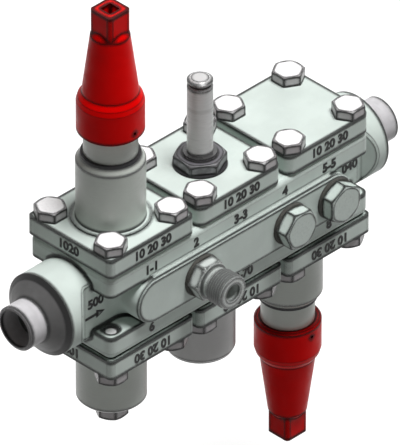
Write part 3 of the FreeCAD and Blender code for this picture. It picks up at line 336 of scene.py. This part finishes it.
class Finish:
    """A node material under construction: a Principled shader with short ways to feed it."""

    def __init__(self, name, roughness, metallic=0.0, sheen=0.25):
        self.material = bpy.data.materials.new(name)
        self.material.use_nodes = True
        self.tree = self.material.node_tree
        self.shader = self.tree.nodes["Principled BSDF"]
        self.shader.inputs["Metallic"].default_value = metallic
        self.shader.inputs["Roughness"].default_value = roughness
        self.shader.inputs["Specular IOR Level"].default_value = sheen
        self.place = self.node("ShaderNodeTexCoord").outputs["Object"]

    def node(self, kind, **values):
        """A new node of the kind, with the given attributes."""
        made = self.tree.nodes.new(kind)
        for key, given in values.items():
            setattr(made, key, given)
        return made

    def feed(self, socket, given):
        """Links the socket to another node's, or sets it to a plain value."""
        if isinstance(given, bpy.types.NodeSocket):
            self.tree.links.new(given, socket)
        else:
            socket.default_value = given

    def noise(self, size, detail, stretch=(1, 1, 1)):
        """Noise with lumps of the given size in metres, stretched along the axes. More detail adds
        finer lumps to them."""
        mapping = self.node("ShaderNodeMapping")
        self.feed(mapping.inputs["Vector"], self.place)
        mapping.inputs["Scale"].default_value = tuple(1 / (size * s) for s in stretch)
        made = self.node("ShaderNodeTexNoise")
        self.feed(made.inputs["Vector"], mapping.outputs["Vector"])
        made.inputs["Scale"].default_value = 1.0
        made.inputs["Detail"].default_value = detail
        return made.outputs["Fac"]

    def feed_marks(self, axis):
        """Marks of the turning tool: fine noise drawn out round the axis."""
        stretch = tuple(1 if name == axis else FEED_STRETCH for name in "XYZ")
        return self.noise(FEED_MARK, detail=2.0, stretch=stretch)

    def spread(self, value, low, high, start=0.0, end=1.0):
        """The value's range from low to high brought to start to end, easing in and out."""
        made = self.node("ShaderNodeMapRange")
        made.interpolation_type = "SMOOTHSTEP"
        self.feed(made.inputs["Value"], value)
        for name, given in (("From Min", low), ("From Max", high), ("To Min", start), ("To Max", end)):
            made.inputs[name].default_value = given
        return made.outputs["Result"]

    def math(self, operation, first, second=0.0):
        """One operation of arithmetic on two values."""
        made = self.node("ShaderNodeMath", operation=operation)
        self.feed(made.inputs[0], first)
        self.feed(made.inputs[1], second)
        return made.outputs[0]

    def mix(self, share, first, second):
        """first turned into second by the share."""
        made = self.node("ShaderNodeMix", data_type="RGBA")
        self.feed(made.inputs[0], share)
        for socket, given in ((made.inputs[6], first), (made.inputs[7], second)):
            self.feed(socket, given if isinstance(given, bpy.types.NodeSocket) else (*given, 1.0))
        return made.outputs[2]

    def veil(self, tone, share, colour, most):
        """The tone with a second colour laid over it, at most by the given part."""
        return self.mix(self.math("MULTIPLY", share, most), tone, colour)

    def axis(self, name):
        """One coordinate of the point, in metres."""
        made = self.node("ShaderNodeSeparateXYZ")
        self.feed(made.inputs[0], self.place)
        return made.outputs[name]

    def bump(self, height, distance, strength):
        """Roughens the surface by the height, on top of any bump that it has."""
        made = self.node("ShaderNodeBump")
        self.feed(made.inputs["Height"], height)
        made.inputs["Distance"].default_value = distance
        made.inputs["Strength"].default_value = strength
        if self.shader.inputs["Normal"].is_linked:
            self.feed(made.inputs["Normal"], self.shader.inputs["Normal"].links[0].from_socket)
        self.feed(self.shader.inputs["Normal"], made.outputs["Normal"])

    def edge_share(self, width):
        """How near the point is to an edge: where the rounded normal leaves the true one."""
        rounded = self.node("ShaderNodeBevel", samples=EDGE_SAMPLES)
        rounded.inputs["Radius"].default_value = width
        flat = self.node("ShaderNodeNewGeometry").outputs["Normal"]
        made = self.node("ShaderNodeVectorMath", operation="DOT_PRODUCT")
        self.feed(made.inputs[0], rounded.outputs["Normal"])
        self.feed(made.inputs[1], flat)
        return self.spread(made.outputs["Value"], *EDGE_RANGE)

    def crease_shade_share(self, width):
        """Painted shade in creases: how near the point is to a wall that rises from it, by how much of
        the sky close by is hidden.
        """
        open_sky = self.node("ShaderNodeAmbientOcclusion", samples=CREASE_SHADE_SAMPLES)
        open_sky.inputs["Distance"].default_value = width
        return self.spread(open_sky.outputs["AO"], *CREASE_SHADE_RANGE)

    def edges(self, colour, width, strength, line=INK_AND_SHADE):
        """The colour with a thin dark line along every sharp edge, and painted shade in every crease."""
        share = self.math("MAXIMUM", self.edge_share(width), self.crease_shade_share(width * CREASE_SHADE_REACH))
        return self.veil(colour, share, line, most=strength)

    def flat_end(self):
        """1 on a face that looks straight up or down, 0 on the sides: the mask for the painted highlight
        on the bolts' flat ends and the painted shade on the nuts'.
        """
        facing = self.node("ShaderNodeSeparateXYZ")
        self.feed(facing.inputs[0], self.node("ShaderNodeNewGeometry").outputs["Normal"])
        return self.spread(self.math("ABSOLUTE", facing.outputs["Z"]), *FLAT_RANGE)

    def colour(self, value):
        """Feeds the shader's colour."""
        self.feed(self.shader.inputs["Base Color"], value)

    def roughness(self, value, low, high, reach=NOISE_MIDDLE):
        """Feeds the shader's roughness with the value, its reach brought to low to high."""
        self.feed(self.shader.inputs["Roughness"], self.spread(value, *reach, low, high))


def tinted(colour, factor):
    """The colour made paler or darker by the factor, and cut at white."""
    return tuple(min(1.0, c * factor) for c in colour)


def cast_finish(name, settings):
    """Satin casting: fine grain and a broad cloudy tone."""
    f = Finish(name, roughness=0.5)
    cloud = f.spread(f.noise(0.018, detail=4.0), 0.35, 0.65)
    speck = f.spread(f.noise(0.0007, detail=2.0), 0.60, 0.78)
    tone = f.mix(cloud, tinted(settings.casting, 0.955), tinted(settings.casting, 1.03))
    tone = f.veil(tone, speck, tinted(settings.casting, 0.72), most=0.16)
    f.colour(f.edges(tone, settings.edge_width, settings.edge_strength))
    f.roughness(f.noise(0.004, detail=3.0), low=0.40, high=0.58)
    f.bump(f.noise(0.0009, detail=3.0), distance=0.00012, strength=0.45)
    f.bump(f.noise(0.009, detail=2.0), distance=0.0004, strength=0.20)
    return f


def turned_finish(name, colour, settings, axis="Z", roughness=0.34, metallic=0.0, line=None):
    """Turned steel: fine feed marks round the axis, faint smears along it."""
    f = Finish(name, roughness, metallic, sheen=0.6)
    marks = f.feed_marks(axis)
    smear = f.spread(f.noise(0.012, detail=3.0), *NOISE_MIDDLE)
    tone = f.mix(smear, tinted(colour, 0.97), tinted(colour, 1.03))
    tone = f.veil(tone, f.spread(marks, 0.5, 0.7), tinted(colour, 0.78), most=0.10)
    # How dark the edge line and the painted crease shade are.
    strength = settings.edge_strength if line is None else line
    f.colour(f.edges(tone, settings.edge_width, strength))
    f.roughness(marks, low=roughness - 0.07, high=roughness + 0.12)
    f.bump(marks, distance=0.00005, strength=0.5)
    return f


def weld_end_finish(name, settings, boundaries):
    """Weld end: dark phosphated cone, and the stub turned bright up to the weld bevel."""
    f = Finish(name, roughness=0.38)
    along = f.axis("X")
    marks = f.feed_marks("X")
    inlet, outlet = boundaries
    stub = f.math(
        "ADD",
        f.spread(along, inlet + STUB_FADE, inlet - STUB_FADE),
        f.spread(along, outlet - STUB_FADE, outlet + STUB_FADE))
    smear = f.spread(f.noise(0.006, detail=3.0), *NOISE_MIDDLE)
    dark = f.mix(smear, tinted(WELD_CONE, 0.93), tinted(WELD_CONE, 1.06))
    bright = f.mix(smear, tinted(WELD_STUB, 0.92), tinted(WELD_STUB, 1.06))
    tone = f.mix(stub, dark, bright)
    tone = f.veil(tone, f.spread(marks, 0.5, 0.7), tinted(WELD_CONE, 0.7), most=0.12)
    f.colour(f.edges(tone, settings.edge_width, settings.edge_strength))
    f.roughness(marks, low=0.32, high=0.50)
    f.bump(marks, distance=0.00005, strength=0.5)
    return f


def zinc_finish(name, colour, settings, side=None):
    """Zinc plate: a fine crystalline spangle and a little tarnish. Where a colour for the sides is
    given, only the flat ends of an upright piece keep the bright one, as a painted highlight."""
    f = Finish(name, roughness=0.34)
    spangle = f.node("ShaderNodeTexVoronoi", feature="F1")
    mapping = f.node("ShaderNodeMapping")
    f.feed(mapping.inputs["Vector"], f.place)
    mapping.inputs["Scale"].default_value = (1 / SPANGLE,) * 3
    f.feed(spangle.inputs["Vector"], mapping.outputs["Vector"])
    spangle.inputs["Scale"].default_value = 1.0
    grain = f.node("ShaderNodeSeparateColor")
    f.feed(grain.inputs[0], spangle.outputs["Color"])
    tone = f.mix(grain.outputs[0], tinted(colour, 0.975), tinted(colour, 1.02))
    if side is not None:
        # The flat ends keep the bright colour as a painted highlight.
        tone = f.mix(f.flat_end(), side, tone)
    tarnish = f.spread(f.noise(0.005, detail=4.0), 0.55, 0.8)
    tone = f.veil(tone, tarnish, tinted(colour, 0.80), most=0.10)
    f.colour(f.edges(tone, settings.edge_width * SMALL_EDGE, settings.edge_strength))
    f.roughness(grain.outputs[1], low=0.26, high=0.38, reach=(0.0, 1.0))
    f.bump(f.noise(0.0006, detail=2.0), distance=0.00004, strength=0.4)
    return f


def oxide_finish(name, settings):
    """Black oxide on steel: dark grey, lighter in random worn patches, with painted shade darkening the
    flat ends nearly black.
    """
    f = Finish(name, roughness=0.42)
    wear = f.spread(f.noise(0.004, detail=4.0), 0.35, 0.7)
    dark = f.mix(wear, tinted(BLACK_OXIDE, 0.8), tinted(BLACK_OXIDE, 1.5))
    # The flat ends are painted darker, as shade.
    tone = f.veil(dark, f.flat_end(), OXIDE_TOP_SHADE, most=0.85)
    f.colour(f.edges(tone, settings.edge_width * SMALL_EDGE, settings.edge_strength))
    f.roughness(f.noise(0.002, detail=3.0), low=0.34, high=0.52)
    f.bump(f.noise(0.0007, detail=2.0), distance=0.00005, strength=0.5)
    return f


def cap_finish(name, settings):
    """Red moulded cap: a soft sheen, slight orange peel and shallow handling marks."""
    f = Finish(name, roughness=0.38, sheen=0.06)
    cloud = f.spread(f.noise(0.02, detail=3.0), *NOISE_MIDDLE)
    tone = f.mix(cloud, tinted(settings.cap, 0.92), tinted(settings.cap, 1.05))
    scuff = f.spread(f.noise(0.0011, detail=4.0, stretch=(1, 1, 7)), 0.66, 0.80)
    tone = f.veil(tone, scuff, CAP_SCUFF, most=0.10)
    f.colour(f.edges(tone, settings.edge_width * CAP_EDGE, settings.edge_strength, CAP_LINE_AND_SHADE))
    f.roughness(f.noise(0.006, detail=3.0), low=0.30, high=0.44)
    f.bump(f.noise(0.0014, detail=2.0), distance=0.00008, strength=0.4)
    return f


def soft_finish(name, colour, roughness, size):
    """Rubber, fibre or packing: a matt body with fine flecks of the given size."""
    f = Finish(name, roughness)
    fleck = f.spread(f.noise(size, detail=4.0), 0.40, 0.66)
    f.colour(f.mix(fleck, tinted(colour, 0.8), tinted(colour, 1.3)))
    f.roughness(f.noise(size * 3, detail=2.0), low=roughness - 0.08, high=roughness + 0.08)
    f.bump(f.noise(size, detail=3.0), distance=0.00006, strength=0.6)
    return f


def strainer_finish(name):
    """Woven wire of the strainer: sin(z) times the sum of sin(x) and sin(y), at the wires' pitch."""
    f = Finish(name, roughness=0.35, metallic=0.5)
    up, across, through = (
        f.math("SINE", f.math("MULTIPLY", f.axis(axis), 2 * math.pi / WIRE_PITCH)) for axis in "ZXY")
    weave = f.math("MULTIPLY", up, f.math("ADD", across, through))
    # The colour darkens where the weave lies low, as painted shade between the wires.
    f.colour(f.mix(f.spread(weave, -0.6, 0.6), tinted(STAINLESS, 0.4), tinted(STAINLESS, 1.3)))
    f.bump(weave, distance=0.00008, strength=0.6)
    f.roughness(weave, low=0.28, high=0.45, reach=(-1.0, 1.0))
    return f


def mark_finish(name):
    """Black filled relief of the numerals and the arrow."""
    f = Finish(name, roughness=0.55)
    f.colour(f.mix(f.spread(f.noise(0.0006, detail=3.0), 0.4, 0.7), INK_AND_SHADE, WORN_INK))
    f.bump(f.noise(0.0005, detail=2.0), distance=0.00004, strength=0.5)
    return f


def surface(name, points, body, material, close_length=False):
    """A mesh from a grid of points [ring, place on the ring, xyz]. Each ring is closed. Without
    close_length the two end rings are filled; with it the last ring joins the first one."""
    rings, around = points.shape[:2]
    index = np.arange(rings * around).reshape(rings, around)
    last = rings if close_length else rings - 1
    near = index[np.arange(last)]
    far = index[(np.arange(last) + 1) % rings]
    quads = np.stack([near, np.roll(near, -1, 1), np.roll(far, -1, 1), far], -1).reshape(-1, 4)
    faces = quads.tolist()
    if not close_length:
        faces.append(index[0][::-1].tolist())
        faces.append(index[-1].tolist())
    mesh = bpy.data.meshes.new(name)
    mesh.from_pydata(points.reshape(-1, 3).tolist(), [], faces)
    return finished(name, mesh, body, material, SMOOTH_ANGLE)


def finished(name, mesh, body, material, smooth):
    """Turns the mesh's faces outwards, smooths it between sharp edges and puts it on its body."""
    mesh.validate()
    mesh.update()
    obj = bpy.data.objects.new(name, mesh)
    bpy.context.scene.collection.objects.link(obj)
    outward(mesh)
    mesh.polygons.foreach_set("use_smooth", np.ones(len(mesh.polygons), bool))
    mesh.set_sharp_from_angle(angle=math.radians(smooth))
    mesh.materials.append(material)
    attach(obj, body)
    return obj


def outward(mesh):
    """Flips the mesh where its signed volume, the sum of each triangle's a dot b cross c, is negative."""
    mesh.calc_loop_triangles()
    points = np.empty(len(mesh.vertices) * 3)
    mesh.vertices.foreach_get("co", points)
    points = points.reshape(-1, 3)
    corners = np.empty(len(mesh.loop_triangles) * 3, np.int32)
    mesh.loop_triangles.foreach_get("vertices", corners)
    a, b, c = (points[corners.reshape(-1, 3)[:, k]] for k in range(3))
    if np.einsum("ij,ij->i", a, np.cross(b, c)).sum() < 0:
        mesh.flip_normals()


def hexagon_radius(angle, flats, turn):
    """Distance of a hexagon's side from its middle at each angle: half the width across flats
    over the cosine of the angle from the nearest flat's middle."""
    step = math.radians(60)
    off = (angle - turn + step / 2) % step - step / 2
    return flats / 2 / np.cos(off)


def connector_points(sizes, inner, seat, end, around=192):
    """The connector as rings: each one's distance along the port's axis, and its radius at each
    angle. Outside: plain thread in the casting, a hexagon cut by a cone at its outer face, a neck,
    and a pipe thread whose radius is a triangle wave of (distance / pitch - angle / turn), cut flat
    at its roots and crests and faded out at both ends. Then the end face and the bore."""
    angle = np.arange(around) * 2 * math.pi / around
    crest = sizes.crest
    root = crest - sizes.thread_depth
    head_end = seat + sizes.head
    head = np.linspace(seat, head_end, HEAD_RINGS)[:, None]
    cone = sizes.face_radius + (head_end - head) / math.tan(HEAD_CONE)
    hexagon = np.minimum(hexagon_radius(angle, sizes.hexagon, HEXAGON_TURN), cone)

    start = head_end + sizes.neck
    steps = int(round((end - start) / sizes.thread_pitch * RINGS_PER_PITCH))
    along = np.linspace(start, end, steps)[:, None]
    phase = (along / sizes.thread_pitch - angle / (2 * math.pi)) % 1
    wave = np.clip(np.abs(2 * phase - 1) * WAVE_HEIGHT - WAVE_DROP, 0, 1)
    fade = np.clip(np.minimum(along - start, end - along) / sizes.thread_pitch, 0, 1)
    chamfer = np.minimum(crest, crest - END_CHAMFER + (end - along))
    thread = np.minimum(root + (crest - root) * wave * fade, chamfer)

    rings = (
        (inner, sizes.bore),
        (inner, crest - START_CHAMFER),
        (inner + START_CHAMFER, crest),
        (seat, crest),
        (head, hexagon),
        (head_end, sizes.face_radius),
        (head_end, sizes.neck_radius),
        (start, sizes.neck_radius),
        (along, thread),
        (end, sizes.bore + BORE_CHAMFER),
        (end - BORE_CHAMFER, sizes.bore),
    )
    place = np.concatenate([np.atleast_2d(row[0]) for row in rings])
    radius = np.concatenate([np.atleast_2d(row[1]) + 0 * angle for row in rings])
    return angle, place, radius


def helix_points(radius, wire, low, high, turns, along=40, around=10):
    """A coil spring's wire: its centre runs round the axis at the radius and climbs in proportion
    to the angle, with little climb in the closed turns at both ends. Round the centre, the wire's
    section is a circle across its path."""
    turn = np.linspace(0, turns, int(turns * along))
    open_climb = np.clip((turn - CLOSED_TURNS) / (turns - 2 * CLOSED_TURNS), 0, 1)
    climb = open_climb * (1 - CLOSED_CLIMB) + CLOSED_CLIMB * turn / turns
    angle = turn * 2 * math.pi
    height = low + wire / 2 + (high - low - wire) * climb
    centre = np.stack([radius * np.cos(angle), radius * np.sin(angle), height], -1)
    out = np.stack([np.cos(angle), np.sin(angle), np.zeros_like(angle)], -1)
    tangent = np.gradient(centre, axis=0)
    tangent /= np.linalg.norm(tangent, axis=1, keepdims=True)
    up = np.cross(tangent, out)
    section = np.arange(around) * 2 * math.pi / around
    ring = np.cos(section)[:, None] * out[:, None] + np.sin(section)[:, None] * up[:, None]
    return centre[:, None] + ring * wire / 2


def cad_nodes():
    """CAD node name and its material slot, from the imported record."""
    return {row["node"]: row["material_slot"] for row in frame["record"]["subparts"]}


def put_material(obj, material):
    """Gives the object this material alone."""
    obj.data.materials.clear()
    obj.data.materials.append(material)


class STATION_OT_finishes(Operator):
    """Give every CAD node the finish of its material slot"""

    bl_idname = "station.finishes"
    bl_label = "Finishes"

    def execute(self, context):
        settings = context.scene.station_finish
        stub_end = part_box("inlet_weld_end")[0].x + STUB_LENGTH
        far_stub_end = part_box("outlet_weld_end")[1].x - STUB_LENGTH
        made = {
            "cast_steel": cast_finish("satin_casting", settings),
            "machined_steel": turned_finish("turned_steel", settings.turned, settings),
            "dark_steel": weld_end_finish("weld_end_steel", settings, (stub_end, far_stub_end)),
            "bolt_steel": zinc_finish("zinc_plate", settings.zinc, settings, side=ZINC_SIDE),
            "tube_steel": turned_finish("drawn_stainless", STAINLESS, settings, roughness=0.28),
            "nut_steel": oxide_finish("black_oxide", settings),
            "cap_red": cap_finish("red_cap", settings),
            "seal_black": soft_finish("seal_rubber", RUBBER, roughness=0.6, size=0.0008),
            "gasket_fibre": soft_finish("gasket_fibre", FIBRE, roughness=0.8, size=0.0006),
            "packing_white": soft_finish("packing", PACKING, roughness=0.7, size=0.0007),
            "brass": turned_finish("turned_brass", BRASS, settings, roughness=0.3, metallic=0.8),
        }
        weave = strainer_finish("strainer_weave")
        plug_steel = zinc_finish("plug_steel", PLUG_STEEL, settings)
        check_steel = turned_finish("check_steel", CHECK_STEEL, settings)
        for node, slot in cad_nodes().items():
            if slot not in made:
                raise RuntimeError(f"no finish is made for slot {slot}")
            finish = made[slot]
            if node == "strainer_mesh":
                finish = weave
            if node.startswith("port_") and slot == "bolt_steel":
                finish = plug_steel
            if node == "check_housing":
                finish = check_steel
            put_material(frame["nodes"][node], finish.material)
        return {"FINISHED"}


class STATION_OT_connector(Operator):
    """Make the threaded side connector with its hexagon and bore"""

    bl_idname = "station.connector"
    bl_label = "Side connector"

    def execute(self, context):
        sizes = context.scene.station_connector
        low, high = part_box("port_2_connector")
        axis_x = (low.x + high.x) / 2
        axis_z = (low.z + high.z) / 2
        seat = -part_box("port_2_washer")[0].y
        angle, place, radius = connector_points(sizes, -high.y, seat, -low.y)
        points = np.stack([
            axis_x + radius * np.cos(angle),
            np.broadcast_to(-place, radius.shape),
            axis_z + radius * np.sin(angle)], -1)
        finish = turned_finish(
            "connector_steel", CONNECTOR_STEEL, context.scene.station_finish, axis="Y", line=0.85)
        piece = surface(
            "threaded_connector", points, "station", finish.material, close_length=True)
        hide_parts("port_2_connector")
        return {"FINISHED"}


class STATION_OT_springs(Operator):
    """Wind the three coil springs that stand for the stacked rings"""

    bl_idname = "station.springs"
    bl_label = "Coil springs"

    def execute(self, context):
        settings = context.scene.station_finish
        finish = turned_finish(
            "spring_wire", STAINLESS, settings, roughness=0.25, metallic=0.7, line=0.0)
        for node, radius, wire, turns, joint, fixed in SPRINGS:
            low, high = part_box(node)
            points = helix_points(radius, wire, low.z, high.z, turns)
            points[..., 0] += (low.x + high.x) / 2
            piece = surface(f"{node}_wire", points, "station", finish.material)
            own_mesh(piece)
            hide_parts(node)
        return {"FINISHED"}


class STATION_OT_numerals(Operator):
    """Raise the plain port and cover numerals on the cast faces"""

    bl_idname = "station.numerals"
    bl_label = "Numerals"

    def execute(self, context):
        sizes = context.scene.station_marks
        ink = mark_finish("filled_relief").material
        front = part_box("valve_housing")[0].y + RAIL_OVER_FLANGE
        for count, text in enumerate(UPPER_NUMERALS):
            place = (INLET_AXIS + count * STATION_PITCH / 2, front, FLANGE_MIDDLE)
            self.numeral(f"upper_numeral_{count + 1}", text, place, sizes, ink)
        for count, text in enumerate(LOWER_NUMERALS):
            place = (INLET_AXIS + count * STATION_PITCH, front, -FLANGE_MIDDLE)
            self.numeral(f"lower_numeral_{count + 1}", text, place, sizes, ink)
        for node, flipped in COVERS:
            low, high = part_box(node)
            up = -COVER_MIDDLE if flipped else COVER_MIDDLE
            place = ((low.x + high.x) / 2, low.y, up)
            self.numeral(f"{node}_numeral", COVER_NUMERAL, place, sizes, ink, flipped=flipped)
            if node in COVERS_AT_INLET:
                name, place = f"{node}_end_numeral", (low.x, 0, up)
                self.numeral(name, COVER_END_NUMERAL, place, sizes, ink, turn=-90, flipped=flipped)
        for name, text, along, up in WAIST_NUMERALS:
            self.numeral(name, text, (along, -WAIST_HALF, up), sizes, ink)
        return {"FINISHED"}

    def numeral(self, name, text, place, sizes, ink, turn=0, flipped=False):
        """A text laid on a face: its plane is turned to the wall, then round Z. A flipped one
        stands on its head, as on the covers under the housing."""
        curve = bpy.data.curves.new(name, "FONT")
        curve.body = text
        curve.size = sizes.numeral_height * SIZE_OVER_HEIGHT
        curve.align_x = "CENTER"
        curve.align_y = "CENTER"
        curve.extrude = sizes.relief / 2
        curve.offset = sizes.boldness
        curve.resolution_u = FONT_STEPS
        holder = bpy.data.objects.new(name, curve)
        bpy.context.scene.collection.objects.link(holder)
        bpy.context.view_layer.update()
        mesh = bpy.data.meshes.new_from_object(holder)
        bpy.data.objects.remove(holder)
        points = np.empty(len(mesh.vertices) * 3)
        mesh.vertices.foreach_get("co", points)
        flat = points.reshape(-1, 3)
        angle = math.radians(turn)
        out = flat[:, 2] + sizes.relief / 2 - SINK
        across, up = (-flat[:, 0], -flat[:, 1]) if flipped else (flat[:, 0], flat[:, 1])
        placed = np.stack([
            place[0] + across * math.cos(angle) + out * math.sin(angle),
            place[1] + across * math.sin(angle) - out * math.cos(angle),
            place[2] + up], -1)
        mesh.vertices.foreach_set("co", placed.ravel())
        mesh.name = name
        finished(name, mesh, "station", ink, NUMERAL_ANGLE)


class STATION_OT_flow_arrow(Operator):
    """Raise the flow arrow on the waist beside the inlet"""

    bl_idname = "station.flow_arrow"
    bl_label = "Flow arrow"

    def execute(self, context):
        sizes = context.scene.station_marks
        length = sizes.arrow_length
        half = sizes.arrow_width / 2
        neck = length * ARROW_NECK
        shaft = half * ARROW_SHAFT
        outline = np.array([
            (0, -shaft), (neck, -shaft), (neck, -half), (length, 0),
            (neck, half), (neck, shaft), (0, shaft)])
        head = outline[2:5]
        filling = head.mean(0) + (head - head.mean(0)) * ARROW_FILLING
        relief = sizes.relief
        casting = frame["nodes"]["valve_housing"].active_material
        self.raised("flow_arrow", outline, relief, mark_finish("arrow_relief").material)
        self.raised("flow_arrow_filling", filling, relief + FILLING_RELIEF, casting)
        return {"FINISHED"}

    def raised(self, name, outline, relief, material):
        """An outline on the waist's wall, drawn out by the relief with a slightly smaller top."""
        middle = outline.mean(0)
        rings = []
        for depth, scale in ((SINK, 1.0), (-relief * BEVEL_START, 1.0), (-relief, TOP_SCALE)):
            flat = middle + (outline - middle) * scale
            wall = np.full(len(flat), -WAIST_HALF + depth)
            rings.append(np.stack([ARROW_START[0] + flat[:, 0], wall, ARROW_START[1] + flat[:, 1]], -1))
        surface(name, np.stack(rings), "station", material)


class STATION_OT_stage(Operator):
    """Set the floor, the lamps, the background and the camera"""

    bl_idname = "station.stage"
    bl_label = "Stage"

    def execute(self, context):
        settings = context.scene.station_stage
        scene = context.scene
        scene.view_settings.view_transform = "Standard"
        self.floor(settings)
        self.world(settings)
        for name, (direction, width) in LAMPS.items():
            self.lamp(f"{name}_lamp", getattr(settings, name), direction, width)
        self.camera(settings)
        return {"FINISHED"}

    def floor(self, settings):
        """A square grid under the object, with room for the lower seal cap to come down. The camera
        sees it lit and glowing, nearly white, and the object gets only its grey."""
        half = settings.floor_size / 2
        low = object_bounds()[0].z - FLOOR_ROOM
        line = np.linspace(-half, half, FLOOR_LINES)
        x, y = np.meshgrid(MIDDLE_AXIS + line, line)
        points = np.stack([x, y, np.full_like(x, low)], -1)
        index = np.arange(x.size).reshape(x.shape)
        quads = np.stack([index[:-1, :-1], index[:-1, 1:], index[1:, 1:], index[1:, :-1]], -1)
        mesh = bpy.data.meshes.new("floor")
        mesh.from_pydata(points.reshape(-1, 3).tolist(), [], quads.reshape(-1, 4).tolist())
        obj = bpy.data.objects.new("floor", mesh)
        bpy.context.scene.collection.objects.link(obj)
        obj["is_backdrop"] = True
        material = bpy.data.materials.new("pale_floor")
        material.use_nodes = True
        nodes, links = material.node_tree.nodes, material.node_tree.links
        nodes.clear()
        output = nodes.new("ShaderNodeOutputMaterial")
        plain = nodes.new("ShaderNodeBsdfDiffuse")
        plain.inputs["Color"].default_value = (FLOOR_GREY, FLOOR_GREY, FLOOR_GREY, 1)
        glow = nodes.new("ShaderNodeEmission")
        glow.inputs["Strength"].default_value = FLOOR_GLOW
        seen = self.seen(nodes, links)
        lit = nodes.new("ShaderNodeAddShader")
        links.new(plain.outputs[0], lit.inputs[0])
        links.new(glow.outputs[0], lit.inputs[1])
        both = nodes.new("ShaderNodeMixShader")
        links.new(seen, both.inputs[0])
        links.new(plain.outputs[0], both.inputs[1])
        links.new(lit.outputs[0], both.inputs[2])
        links.new(both.outputs[0], output.inputs["Surface"])
        mesh.materials.append(material)

    def seen(self, nodes, links):
        """1 for a ray from the camera, off a glossy face or through glass, and 0 for the rest."""
        path = nodes.new("ShaderNodeLightPath")
        share = path.outputs["Is Camera Ray"]
        for name in ("Is Glossy Ray", "Is Transmission Ray"):
            most = nodes.new("ShaderNodeMath")
            most.operation = "MAXIMUM"
            links.new(share, most.inputs[0])
            links.new(path.outputs[name], most.inputs[1])
            share = most.outputs[0]
        return share

    def world(self, settings):
        """Warm, weak light from all round for the object, and plain white for the camera."""
        world = bpy.data.worlds.new("studio")
        bpy.context.scene.world = world
        world.use_nodes = True
        nodes, links = world.node_tree.nodes, world.node_tree.links
        nodes.clear()
        output = nodes.new("ShaderNodeOutputWorld")
        air = nodes.new("ShaderNodeBackground")
        air.inputs["Color"].default_value = (*AIR, 1)
        air.inputs["Strength"].default_value = settings.ambient
        white = nodes.new("ShaderNodeBackground")
        white.inputs["Color"].default_value = (1, 1, 1, 1)
        white.inputs["Strength"].default_value = 1.0
        both = nodes.new("ShaderNodeMixShader")
        links.new(self.seen(nodes, links), both.inputs[0])
        links.new(air.outputs[0], both.inputs[1])
        links.new(white.outputs[0], both.inputs[2])
        links.new(both.outputs[0], output.inputs["Surface"])

    def lamp(self, name, share, direction, width):
        """A broad sun lamp. A face turned to it shows its own colour times the share."""
        data = bpy.data.lights.new(name, "SUN")
        data.energy = share * math.pi
        data.angle = math.radians(width)
        obj = bpy.data.objects.new(name, data)
        bpy.context.scene.collection.objects.link(obj)
        obj.rotation_mode = "QUATERNION"
        obj.rotation_quaternion = Vector(direction).to_track_quat("Z", "Y")
        obj.location = Vector(direction) * LAMP_DISTANCE

    def camera(self, settings):
        """A long lens aimed at the middle axis, so far off that the scale there is the photo's."""
        data = bpy.data.cameras.new("photo_camera")
        data.lens = settings.lens
        data.sensor_width = SENSOR
        distance = PHOTO_HEIGHT * settings.lens / (SENSOR * PIXELS_PER_METRE)
        data.clip_end = distance * CLIP_ROOM
        obj = bpy.data.objects.new("photo_camera", data)
        bpy.context.scene.collection.objects.link(obj)
        flat = math.cos(settings.elevation)
        back = Vector((
            math.sin(settings.azimuth) * flat,
            -math.cos(settings.azimuth) * flat,
            math.sin(settings.elevation)))
        obj.location = Vector((MIDDLE_AXIS, 0, 0)) + back * distance
        obj.rotation_mode = "QUATERNION"
        obj.rotation_quaternion = back.to_track_quat("Z", "Y")
        bpy.context.scene.camera = obj


class STATION_PT_pieces(Panel):
    """The station's pieces and their settings"""

    bl_label = "Valve Station"
    bl_idname = "STATION_PT_pieces"
    bl_space_type = "VIEW_3D"
    bl_region_type = "UI"
    bl_category = "Valve Station"

    def draw(self, context):
        layout = self.layout
        for operator, owner in STEPS:
            box = layout.box()
            box.operator(operator)
            settings = getattr(context.scene, owner)
            for name in settings.bl_rna.properties.keys():
                if name not in ("rna_type", "name"):
                    box.prop(settings, name)


STEPS = (
    ("station.finishes", "station_finish"),
    ("station.connector", "station_connector"),
    ("station.springs", "station_finish"),
    ("station.numerals", "station_marks"),
    ("station.flow_arrow", "station_marks"),
    ("station.stage", "station_stage"),
)

CLASSES = (
    FinishSettings,
    ConnectorSettings,
    MarkSettings,
    StageSettings,
    STATION_OT_finishes,
    STATION_OT_connector,
    STATION_OT_springs,
    STATION_OT_numerals,
    STATION_OT_flow_arrow,
    STATION_OT_stage,
    STATION_PT_pieces,
)


def register():
    for kind in CLASSES:
        bpy.utils.register_class(kind)
    scene = bpy.types.Scene
    scene.station_finish = PointerProperty(type=FinishSettings)
    scene.station_connector = PointerProperty(type=ConnectorSettings)
    scene.station_marks = PointerProperty(type=MarkSettings)
    scene.station_stage = PointerProperty(type=StageSettings)


def unregister():
    scene = bpy.types.Scene
    del scene.station_stage
    del scene.station_marks
    del scene.station_connector
    del scene.station_finish
    for kind in reversed(CLASSES):
        bpy.utils.unregister_class(kind)


def main():
    """Makes the station and its stage."""
    register()
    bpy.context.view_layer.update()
    bpy.ops.station.finishes()
    bpy.ops.station.connector()
    bpy.ops.station.springs()
    bpy.ops.station.numerals()
    bpy.ops.station.flow_arrow()
    bpy.ops.station.stage()


if __name__ == "__main__":
    main()
